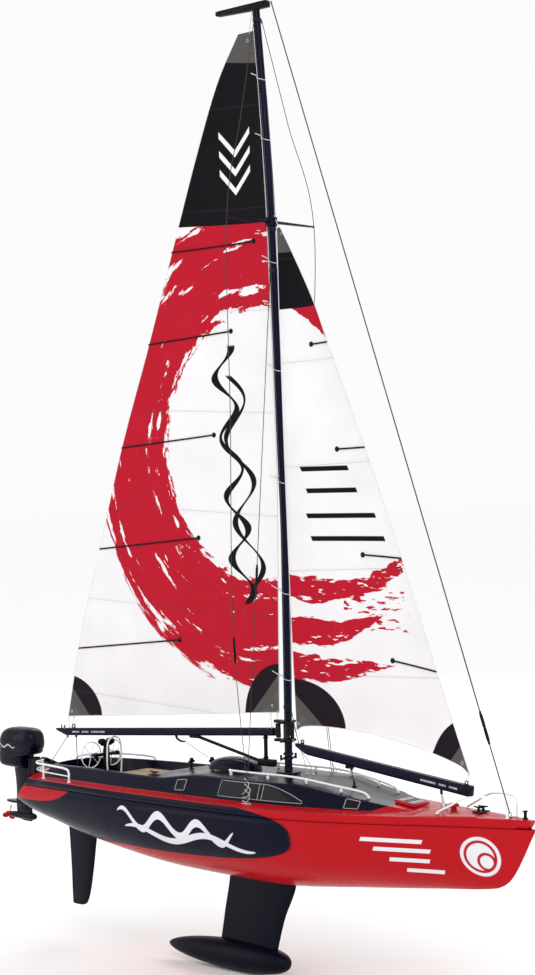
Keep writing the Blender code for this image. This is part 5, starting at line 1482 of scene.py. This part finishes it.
# ---------------------------------------------------------------- running rigging
def running_lines():
    def line(name, points, radius, look, body, start, end, node=None):
        """A line from the hull to a swinging rig; start and end are not used."""
        bm = bmesh.new()
        bar(bm, points, radius, 10)
        ob = piece(name, bm, look, None, (node,) if node else ())
        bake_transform(ob)

    def hull_line(name, points, radius, look):
        bm = bmesh.new()
        bar(bm, points, radius, 8)
        piece(name, bm, look, "hull")

    line("mainsheet_line", evenly([(-0.414, 0, 0.1608), (-0.412, 0, 0.1094)], 0.0015), 0.0006, "rope",
         "main_rig", (-0.412, 0, 0.111), (-0.414, 0, 0.1596), "mainsheet")
    line("sheet_tail_line", evenly([(-0.433, 0, 0.1592), (-0.4445, -0.01, 0.136), (-0.456, -0.02, 0.1128)],
                                   0.0015), 0.0005, "rope",
         "main_rig", (-0.4552, -0.0193, 0.1144), (-0.4335, -0.0005, 0.158), "sheet_tail")
    line("jib_sheet_line", evenly([(0.108, 0, 0.154), (JIB_SHEET_X, 0, 0.1355)], 0.0012), 0.0006, "rope",
         "jib_rig", (0.1118, 0, 0.1365), (0.1082, 0, 0.1532), "jib_sheet")
    bm = bmesh.new()
    post(bm, (-0.412, 0, 0.1087), [(0, 0.003), (0.0008, 0.003), (0.001, 0.0014), (0.0026, 0.0012)], 20)
    hoop(bm, (-0.412, 0, 0.112), (0, 1, 0), 0.0015, 0.0005, 16, 8)
    z = roof_z(JIB_SHEET_X, 0)
    post(bm, (JIB_SHEET_X, 0, z - 0.0004), [(0, 0.0034), (0.0012, 0.0034), (0.0016, 0.0015),
                                            (0.0048, 0.0013)], 20)
    hoop(bm, (JIB_SHEET_X, 0, z + 0.0056), (0, 1, 0), 0.0016, 0.0006, 16, 8)
    piece("sheet_eyes", bm, "black", "hull")
    line("main_head_tie", [(-0.0455, 0, 1.103), (-0.044, 0, 1.113), (-0.04, 0, 1.129)], 0.0005, "cord_pale",
         "main_rig", (-0.0405, 0, 1.127), (-0.045, 0, 1.106))
    line("jib_head_tie", [(0.001, 0, 0.844), (-0.002, 0, 0.85), (-0.0075, 0, 0.861)], 0.0005, "cord_pale",
         "jib_rig", (-0.0065, 0, 0.859), (0.0, 0, 0.846))
    line("jib_topping_lift", [(0.0185, 0, 0.18), (0.012, 0, 0.202), (0.0065, 0, 0.224)], 0.0005, "rope",
         "jib_rig", (0.0068, 0, 0.2235), (0.0175, 0, 0.183))
    foot = roof_z(0.02, 0)
    hull_line("halyard_fall_a", catmull([(0.0068, 0.003, 0.205), (0.0085, 0.01, 0.182),
                                         (0.012, 0.016, 0.158),
                                         (0.015, 0.019, foot + 0.0008)], 8), 0.0005, "cord_pale")
    hull_line("halyard_fall_b", catmull([(0.0066, -0.0035, 0.189), (0.014, 0.006, 0.172),
                                         (0.023, 0.013, 0.156),
                                         (0.028, 0.0165, foot + 0.0008)], 8), 0.0005, "cord_pale")
    bm = bmesh.new()
    for x, y in ((0.015, 0.019), (0.028, 0.0165)):
        z = roof_z(x, y)
        post(bm, (x, y, z - 0.0003), [(0, 0.0026), (0.0009, 0.0026), (0.0012, 0.0011), (0.0026, 0.0009)], 16)
    piece("halyard_eyes", bm, "steel", "hull")
    for side, sign in SIDES:
        pts = []
        for i in range(29):
            t = i / 28
            z = 1.02 - 0.855 * t
            bow = math.sin(math.pi * t)
            pts.append((mast_x(z) + 0.0012 + 0.001 * bow, sign * (MAST_R + 0.0008 + 0.0012 * bow), z))
        hull_line(f"halyard_{side}", pts, 0.0004, "rope")


# ---------------------------------------------------------------- outboard motor
MOTOR_X = -0.515
RUDDER_X, JIB_SHEET_X, CHAINPLATE_Y = -0.402, 0.112, 0.082
STERN_POST = (-0.402, 0.0722)


def outboard_pieces():
    outline = [(0.1068, -0.554, -0.5225, 0.008), (0.1085, -0.566, -0.5215, 0.013),
               (0.1115, -0.572, -0.5212, 0.0168),
               (0.116, -0.5742, -0.521, 0.0182), (0.1248, -0.5748, -0.5208, 0.0188),
               (0.1258, -0.5749, -0.513, 0.019),
               (0.1295, -0.5749, -0.5015, 0.0192), (0.144, -0.5744, -0.496, 0.0194),
               (0.154, -0.5708, -0.4972, 0.0186),
               (0.161, -0.5635, -0.501, 0.016), (0.1645, -0.5545, -0.507, 0.0115),
               (0.1658, -0.545, -0.515, 0.006)]
    bm = bmesh.new()
    rings = []
    for k in range(61):
        z = 0.1068 + 0.059 * k / 60
        tail, nose, half = (table(outline, z, c) for c in (1, 2, 3))
        dent = 0.0006 if 28 <= k <= 29 else 0.0
        rings.append(squircle((tail + nose) / 2, 0, z, (nose - tail) / 2 - dent, half - dent, 0.6, 48))
    skin(bm, rings)
    piece("motor_cowl", bm, "cowl", "motor", ("outboard_cowl",), smooth=50)
    bm = bmesh.new()
    for k in range(4):
        z = 0.15 + 0.0024 * k
        half = table(outline, z, 3)
        for sign in (-1, 1):
            block(bm, (-0.556 + 0.001 * k, sign * (half - 0.0007) - 0.0006, z - 0.0006),
                  (-0.543 + 0.001 * k, sign * (half - 0.0007) + 0.0006, z + 0.0006), 0.0004, 2)
    block(bm, (-0.501, -0.0045, 0.1395), (-0.4962, 0.0045, 0.1435), 0.001, 3)
    piece("motor_vents", bm, "black", "motor")

    bm = bmesh.new()
    sections = [(0.1066, -0.5165, -0.552, 0.0055), (0.1, -0.5165, -0.551, 0.0055),
                (0.09, -0.5165, -0.5492, 0.0052),
                (0.07, -0.516, -0.548, 0.0048), (0.056, -0.5158, -0.549, 0.0046),
                (0.046, -0.515, -0.5488, 0.004),
                (0.04, -0.514, -0.547, 0.003)]
    rings = []
    for k in range(49):
        z = 0.1066 + (0.04 - 0.1066) * k / 48
        nose, tail, half = (table(sections[::-1], z, c) for c in (1, 2, 3))
        ring = []
        for c, s in turns(28):
            ring.append(((nose + tail) / 2 + (nose - tail) / 2 * c,
                         half * math.copysign(abs(s) ** 0.75, s) * (1 - 0.18 * max(-c, 0)), z))
        rings.append(ring)
    skin(bm, rings)
    rings = []
    for z, grow in ((0.0546, 0.86), (0.0552, 0.97), (0.0557, 1.0), (0.0572, 1.0), (0.0577, 0.97),
                    (0.0581, 0.8)):
        ring = []
        for c, s in turns(28):
            ring.append((-0.5425 + 0.0265 * grow * c, 0.01 * grow * s * (1 + 0.25 * -c), z))
        rings.append(ring)
    skin(bm, rings)
    lathe(bm, (-0.5052, 0, 0.0362), (-1, 0, 0), [(0, 0.0006), (0.001, 0.0024), (0.003, 0.0038),
                                                 (0.007, 0.005),
                                                 (0.015, 0.0055), (0.035, 0.0053), (0.048, 0.0048),
                                                 (0.056, 0.004),
                                                 (0.0565, 0.0036)], 28)
    rings = []
    for z, nose, tail, half in ((0.036, -0.512, -0.552, 0.0026), (0.032, -0.5125, -0.548, 0.0018),
                                (0.029, -0.515, -0.533, 0.0009)):
        rings.append([((nose + tail) / 2 + (nose - tail) / 2 * c, half * s, z) for c, s in turns(20)])
    skin(bm, rings)
    post(bm, (MOTOR_X, 0, 0.0962), [(0, 0.0044), (0.0005, 0.005), (0.027, 0.005), (0.0276, 0.0044)], 28)
    for z in (0.101, 0.119):
        post(bm, (MOTOR_X, 0, z), [(0, 0.005), (0.0003, 0.0055), (0.0022, 0.0055), (0.0025, 0.005)], 28)
    for sign in (-1, 1):
        for z in (0.072, 0.086):
            screw(bm, (-0.533, sign * 0.0046, z), (0, sign, 0), 0.0012)
        for k in range(3):
            block(bm, (-0.526, sign * 0.0049 - 0.0004, 0.0475 + 0.0022 * k),
                  (-0.52, sign * 0.0049 + 0.0004, 0.0484 + 0.0022 * k), 0.0003, 1)
    piece("motor_leg", bm, "cowl", "motor", ("outboard_leg",), smooth=45)

    bm = bmesh.new()
    block(bm, (-0.5094, -0.0062, 0.0992), (-0.5023, 0.0062, 0.1239), 0.0012, 3)
    bar(bm, [(-0.505, -0.0076, 0.1225), (-0.505, 0.0076, 0.1225)], 0.0013, 14)
    piece("motor_pivot", bm, "black", "motor_swivel", ("outboard_swivel",))

    bm = bmesh.new()
    for sign in (-1, 1):
        plate(bm, [(-0.456, 0.1122), (-0.456, 0.1166), (-0.49, 0.1236), (-0.5005, 0.1236), (-0.5005, 0.099),
                   (-0.4965, 0.099), (-0.49, 0.112)], 0.0016, bevel=0.0007, offset=sign * 0.0082)
    block(bm, (-0.5003, -0.0085, 0.115), (-0.488, 0.0085, 0.1225), 0.0012, 3)
    block(bm, (-0.499, -0.0078, 0.101), (-0.496, 0.0078, 0.113), 0.0008, 2)
    for sign in (-1, 1):
        screw(bm, (-0.4945, sign * 0.0098, 0.119), (0, sign, 0), 0.0014)
        screw(bm, (-0.462, sign * 0.0098, 0.1148), (0, sign, 0), 0.001)
    piece("motor_clamp", bm, "black", "hull", ("outboard_bracket",))
    bm = bmesh.new()
    for y in (-0.006, 0.006):
        lathe(bm, (-0.4885, y, 0.1085), (0.92, 0, 0.12), [(0, 0.0012), (0.003, 0.0012), (0.0032, 0.0024),
                                                          (0.004, 0.003),
                                                          (0.0058, 0.003), (0.0064, 0.0022)], 20)
    bar(bm, catmull([(-0.48, -0.0096, 0.1195), (-0.479, -0.012, 0.1215), (-0.474, -0.015, 0.1235),
                     (-0.469, -0.0165, 0.124)], 6),
        0.001, 10)
    ball(bm, (-0.4685, -0.0167, 0.1242), 0.0016)
    piece("motor_clamp_knobs", bm, "white", "hull")

    bm = bmesh.new()
    lathe(bm, (-0.5627, 0, 0.0362), (-1, 0, 0), [(0, 0.003), (0.0004, 0.0036), (0.007, 0.0036),
                                                 (0.01, 0.0027),
                                                 (0.0122, 0.0013), (0.013, 0.0003)], 28)
    for k in range(3):
        angle = 2 * math.pi * k / 3 + 0.35
        out = Vector((0, math.sin(angle), math.cos(angle)))
        across = Vector((1, 0, 0)).cross(out)
        rings = []
        for j in range(13):
            t = j / 12
            reach = 0.0022 + 0.0103 * t
            half = 0.0022 + 0.0022 * math.sin(math.pi * min(1, t * 0.95 + 0.05)) ** 0.8 - 0.0012 * t ** 4
            pitch = 1.0 - 0.45 * t
            chord = across * math.cos(pitch) + Vector((1, 0, 0)) * math.sin(pitch)
            normal = chord.cross(out).normalized()
            centre = Vector((-0.5667, 0, 0.0362)) + out * reach
            thick = 0.00055 * (1 - 0.5 * t)
            rings.append([centre + chord * (half * c) + normal * (thick * s + 0.0006 * c * c)
                          for c, s in turns(16)])
        skin(bm, rings)
    piece("screw_propeller", bm, "prop", "prop", ("propeller",), smooth=50)


# ---------------------------------------------------------------- helm
def helm_pieces():
    wx, wy, wz, wr = -0.36, 0.02, 0.1395, 0.019
    for side, sign in SIDES:
        centre = Vector((wx, sign * wy, wz))
        bm = bmesh.new()
        hoop(bm, centre, (1, 0, 0), wr - 0.001, 0.0009, 64, 12)
        for k in range(3):
            a = math.pi * k / 3 + 0.25
            reach = Vector((0, math.cos(a), math.sin(a))) * (wr - 0.0012)
            bar(bm, [centre - reach, centre + reach], 0.00055, 10)
        lathe(bm, centre - Vector((0.0016, 0, 0)), (1, 0, 0),
              [(0, 0.0022), (0.0004, 0.003), (0.0012, 0.003), (0.0016, 0.0024),
               (0.002, 0.003), (0.0028, 0.003),
               (0.0032, 0.0022)], 24)
        for k in range(6):
            a = math.pi * k / 3 + 0.25
            ball(bm, centre + Vector((0, math.cos(a), math.sin(a))) * (wr - 0.001), 0.0011, 10)
        piece(f"wheel_{side}", bm, "white", f"wheel_{side}", (f"helm_wheel_{side}",))
    x, floor = wx + 0.01, 0.1092
    bm = bmesh.new()
    post(bm, (x, 0, floor), [(0, 0.0094), (0.0008, 0.01), (0.003, 0.0098), (0.0048, 0.008), (0.0075, 0.0056),
                             (0.02, 0.005), (0.042, 0.0042), (0.045, 0.0036), (0.0468, 0.002)], 32)
    bar(bm, [(x, -wy, wz), (x, wy, wz)], 0.0024, 16)
    for sign in (-1, 1):
        bar(bm, [(x, sign * wy, wz), (wx + 0.0022, sign * wy, wz)], 0.0017, 14)
        lathe(bm, (x + 0.0028, sign * wy, wz), (-1, 0, 0),
              [(0, 0.002), (0.0004, 0.0032), (0.0052, 0.0032), (0.0056, 0.002)], 22)
        for k in range(4):
            a = math.pi / 4 + math.pi / 2 * k
            screw(bm, (x + 0.008 * math.cos(a), 0.008 * math.sin(a), floor + 0.0026), (0, 0, 1), 0.0008)
        rings = []
        for k in range(17):
            t = -0.98 + 1.96 * k / 16
            s = (1 - abs(t) ** 2.6) ** (1 / 2.6)
            rings.append([(x + 0.006 * t, sign * 0.0078 + 0.0052 * s * c, 0.1575 + 0.0046 * s * h)
                          for c, h in turns(20)])
        skin(bm, rings)
    bar(bm, [(x, -0.0085, 0.1535), (x, 0.0085, 0.1535)], 0.0021, 14)
    piece("helm_stand", bm, "black", "hull", ("helm_pedestal",))
    bm = bmesh.new()
    for sign in (-1, 1):
        lathe(bm, (x - 0.0054, sign * 0.0078, 0.1577), (-1, 0, 0.1),
              [(0, 0.0034), (0.0006, 0.0034), (0.0009, 0.003), (0.0008, 0.0002)], 24)
    piece("helm_dials", bm, "dial", "hull")
    x += 0.016
    bm = bmesh.new()
    guard = [(x, -0.012, floor + 0.0004), (x, -0.0135, 0.13), (x, -0.012, 0.156), (x, -0.005, 0.164),
             (x, 0.005, 0.164), (x, 0.012, 0.156), (x, 0.0135, 0.13), (x, 0.012, floor + 0.0004)]
    bar(bm, catmull(guard, 10), 0.0012, 14)
    for sign in (-1, 1):
        post(bm, (x, sign * 0.012, floor), [(0, 0.0026), (0.0008, 0.0026), (0.0012, 0.0016),
                                            (0.0022, 0.0013)], 20)
    piece("guard_tube", bm, "white", "hull", ("helm_guard",))


# ---------------------------------------------------------------- rails and deck fittings
def rail_pieces():
    for side, sign in SIDES:
        def at(x, y, z):
            return Vector((x, sign * y, z))

        bm = bmesh.new()
        grab = [at(x, y, roof_z(x, y) + 0.0062) for x, y in ((-0.062, 0.045), (-0.02, 0.0455), (0.05, 0.044),
                                                             (0.11, 0.038), (0.15, 0.03))]
        grab.append(at(0.16, 0.028, roof_z(0.16, 0.028) + 0.0025))
        bar(bm, catmull(grab, 14), 0.0014, 14)
        for x, y in ((-0.06, 0.045), (0.006, 0.0454), (0.07, 0.0425), (0.122, 0.0358), (0.16, 0.028)):
            z = roof_z(x, y)
            ball(bm, at(x, y, z + (0.0026 if x < 0.15 else 0.0012)), 0.0021, 16)
            post(bm, at(x, y, z + 0.0003), [(0, 0.002), (0.0008, 0.0018), (0.0014, 0.0012)], 16)
            if x < 0.15:
                bar(bm, [at(x, y, z + 0.003), at(x, y, z + 0.006)], 0.0012, 12)
        ball(bm, grab[0], 0.0019, 16)
        piece(f"grab_rail_{side}", bm, "white", "hull", (f"handrail_{side}",))

        bm = bmesh.new()
        foot_aft, foot_fwd = plain_deck_z(0.268, 0.029), plain_deck_z(0.357, 0.0095)
        bow = [at(0.268, 0.029, foot_aft + 0.002), at(0.285, 0.0275, 0.127), at(0.303, 0.025, 0.1365),
               at(0.318, 0.0215, 0.1395), at(0.34, 0.016, 0.1405), at(0.354, 0.012, 0.137),
               at(0.357, 0.0095, foot_fwd + 0.0016)]
        bar(bm, catmull(bow, 12), 0.0013, 14)
        for p, z in ((bow[0], foot_aft), (bow[-1], foot_fwd)):
            post(bm, (p.x, p.y, z + 0.0002), [(0, 0.0024), (0.0007, 0.0024), (0.0011, 0.0015),
                                              (0.0018, 0.0013)], 18)
        piece(f"bow_rail_{side}", bm, "white", "hull", (f"pulpit_{side}",))

        bm = bmesh.new()
        top = sheer(-0.4) + 0.02
        stern = [at(-0.337, 0.082, sheer(-0.337) + 0.0016), at(-0.337, 0.082, top - 0.0055),
                 at(-0.346, 0.081, top),
                 at(-0.395, 0.074, top + 0.001), at(-0.425, 0.064, top), at(-0.446, 0.045, top - 0.001),
                 at(-0.4505, 0.032, top - 0.0045), at(-0.451, 0.03, 0.1128)]
        bar(bm, catmull(stern, 12), 0.0015, 14)
        bar(bm, [at(*STERN_POST, 0.1098), at(*STERN_POST, top)], 0.0013, 12)
        mid = [at(-0.3372, 0.0815, top - 0.01), at(-0.372, 0.0775, top - 0.0095),
               at(*STERN_POST, top - 0.0095),
               at(-0.428, 0.061, top - 0.0098), at(-0.446, 0.044, top - 0.01),
               at(-0.4505, 0.0305, top - 0.0105)]
        bar(bm, catmull(mid, 10), 0.0009, 10)
        for x, y, z in ((-0.337, 0.082, sheer(-0.337) + 0.0003),
                        (*STERN_POST, sheer(STERN_POST[0]) + 0.0006),
                        (-0.451, 0.03, 0.1112)):
            post(bm, at(x, y, z), [(0, 0.0026), (0.0008, 0.0026), (0.0012, 0.0017), (0.0022, 0.0015)], 18)
        ball(bm, at(*STERN_POST, top), 0.0019, 14)
        piece(f"stern_rail_{side}", bm, "white", "hull", (f"pushpit_{side}",))


def fitting_pieces():
    bm = bmesh.new()
    foot = plain_deck_z(0.376, 0) + GAP
    post(bm, (0.376, 0, foot), [(0, 0.0032), (0.0004, 0.0034), (0.001, 0.0032), (0.0014, 0.0021),
                                (0.005, 0.0018),
                                (0.008, 0.0021), (0.0084, 0.0032), (0.0091, 0.0034), (0.0097, 0.0026),
                                (0.01, 0.0008)], 28)
    piece("bollard", bm, "black", "hull", ("bow_bollard",))
    bm = bmesh.new()
    base = plain_deck_z(0.27, 0) + GAP
    post(bm, (0.27, 0, base), [(0, 0.0042), (0.0005, 0.0042), (0.001, 0.0036), (0.0036, 0.0034),
                               (0.004, 0.0064),
                               (0.0043, 0.007), (0.0054, 0.0069), (0.0068, 0.006), (0.0079, 0.004),
                               (0.0085, 0.001)], 36)
    piece("mushroom_vent", bm, "deck_red", "hull", ("foredeck_vent",))
    bm = bmesh.new()
    base = plain_deck_z(0.311, 0) + GAP
    block(bm, (0.304, -0.009, base), (0.318, 0.009, base + 0.0018), 0.0006, 3)
    for y in (-0.0045, 0.0045):
        post(bm, (0.311, y, base + 0.001), [(0, 0.0024), (0.001, 0.0022), (0.0022, 0.0016),
                                            (0.0052, 0.0015)], 18)
        bar(bm, catmull([(0.304, y, base + 0.0068), (0.308, y, base + 0.0061), (0.311, y, base + 0.006),
                         (0.314, y, base + 0.0061),
                         (0.318, y, base + 0.0068)], 6), lambda t: 0.0014 - 0.0006 * abs(2 * t - 1), 12)
    for x in (0.306, 0.316):
        screw(bm, (x, 0, base + 0.0018), (0, 0, 1), 0.001)
    piece("twin_cleat", bm, "black", "hull", ("mooring_cleat",))
    for k, x in enumerate((-0.179, -0.14)):
        base = sheer(x) + raised(x) + 0.0015 + 0.0006
        bm = bmesh.new()
        post(bm, (x, 0, base), [(0, 0.0036), (0.0004, 0.004), (0.0016, 0.0038), (0.0024, 0.0018),
                                (0.007, 0.0015),
                                (0.0122, 0.0016), (0.0128, 0.0028), (0.0152, 0.0028), (0.016, 0.0016)], 24)
        bar(bm, [(x, -0.0048, base + 0.011), (x, 0.0048, base + 0.011)], 0.001, 12)
        for sign in (-1, 1):
            ball(bm, (x, sign * 0.005, base + 0.011), 0.0013, 12)
            post(bm, (x, sign * 0.0035, base + 0.0092), [(0, 0.0006), (0.0003, 0.0009), (0.0033, 0.0009),
                                                         (0.0036, 0.0006)], 12)
        piece(f"sheet_lead_{('aft', 'fwd')[k]}", bm, "black", "hull", (f"sheet_post_{('aft', 'fwd')[k]}",))
    bm = bmesh.new()
    for sign in (-1, 1):
        y = sign * 0.056
        z = sheer(-0.19) + 0.019
        block(bm, (-0.202, y - 0.003, z - 0.0002), (-0.184, y + 0.003, z + 0.0008), 0.0004, 2)
        bar(bm, catmull([(-0.201, y, z + 0.0044), (-0.197, y, z + 0.0036), (-0.193, y, z + 0.0034),
                         (-0.189, y, z + 0.0036),
                         (-0.185, y, z + 0.0044)], 6), lambda t: 0.0012 - 0.0005 * abs(2 * t - 1), 12)
        for x in (-0.1955, -0.1905):
            bar(bm, [(x, y, z + 0.0004), (x, y, z + 0.0034)], 0.001, 10)
    piece("cockpit_cleats", bm, "black", "hull")


# ---------------------------------------------------------------- everything
LOOK_MAKERS = {
    "hull": hull_paint, "strake": strake_paint, "cabin": cabin_paint,
    "deck_red": lambda: painted("deck_gelcoat", "navy_gloss", RED),
    "mast": lambda: painted("mast_enamel", "mast_paint", (0.0024, 0.0028, 0.017), 0.28),
    "cowl": cowl_paint,
    "foil": lambda: painted("foil_enamel", "foil_navy", (0.0022, 0.0026, 0.0095), 0.36, 0.04, 0.00004),
    "lead": lambda: painted("ballast_enamel", "painted_lead", (0.0022, 0.0026, 0.009), 0.42, 0.04, 0.00009),
    "prop": lambda: painted("prop_enamel", "prop_red", (0.42, 0.008, 0.022), 0.3),
    "black": lambda: moulded("black_moulding", "black_plastic", (0.003, 0.003, 0.0052)),
    "white": lambda: moulded("white_moulding", "white_plastic", (0.8, 0.8, 0.81), 0.3, 0.00001,
                             (0.9, 0.9, 0.9)),
    "trim": lambda: moulded("grey_trim", "white_plastic", (0.3, 0.3, 0.31), 0.34, 0.00001, (0.5, 0.5, 0.5)),
    "dial": lambda: moulded("dial_face", "white_plastic", (0.45, 0.46, 0.47), 0.25),
    "steel": lambda: metal("polished_steel", "stainless", (0.56, 0.56, 0.58)),
    "brass": lambda: metal("drawn_brass", "brass_tube", (0.62, 0.43, 0.17), 0.3),
    "wire": lambda: twisted("stay_wire", "rig_wire", (0.004, 0.004, 0.006), 0.006, 0.45, 0.00006),
    "rope": lambda: twisted("dark_line", "sheet_line", (0.022, 0.022, 0.026), 0.004),
    "cord_pale": lambda: twisted("pale_line", "sheet_line", (0.5, 0.49, 0.5), 0.003),
    "hem": lambda: twisted("hem_tape", "sailcloth", (0.62, 0.6, 0.64), 0.002, 0.75, 0.00003),
    "teak": wood, "tint": tinted,
    "wrap": lambda: moulded("battery_film", "battery_wrap", (0.02, 0.1, 0.28), 0.3),
    "main_cloth": lambda: cloth("main_cloth", main_cloth),
    "jib_cloth": lambda: cloth("jib_cloth", jib_cloth),
}
LOOK = {name: build() for name, build in LOOK_MAKERS.items()}

CARRIED = {"radio_tray": "black", "rudder_servo": "black", "winch_servo": "black", "receiver": "black",
           "winch_drum": "black", "battery_pack": "wrap", "servo_horn": "white", "rudder_pushrod": "steel",
           "tiller_arm": "black", "rudder_tube": "brass", "keel_bolt": "steel", "mast_step": "black",
           "jib_swivel": "steel"}


def carried_nodes():
    """The CAD pieces kept as they are, given their own finishes."""
    for node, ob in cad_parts.items():
        look = LOOK[CARRIED.get(node, "black")].material
        for slot in ob.material_slots:
            slot.link = "OBJECT"
            slot.material = look
        if not ob.material_slots:
            ob.data.materials.append(look)


photo_camera()
studio()
carried_nodes()
hull_piece()
deck_piece()
window_pieces()
hatch_pieces()
foil_pieces()
mast_piece()
stay_pieces()
main_boom_pieces()
jib_boom_pieces()
boom_stripe("main_boom_stripe", BOOM_FWD.lerp(BOOM_AFT, 0.75), BOOM_FWD.lerp(BOOM_AFT, 0.91), 0.0046,
            "main_rig")
boom_stripe("jib_boom_stripe", JIB_AFT.lerp(JIB_FWD, 0.74), JIB_AFT.lerp(JIB_FWD, 0.94), 0.0053, "jib_rig")
all_sails()
luff_rings()
running_lines()
outboard_pieces()
helm_pieces()
rail_pieces()
fitting_pieces()
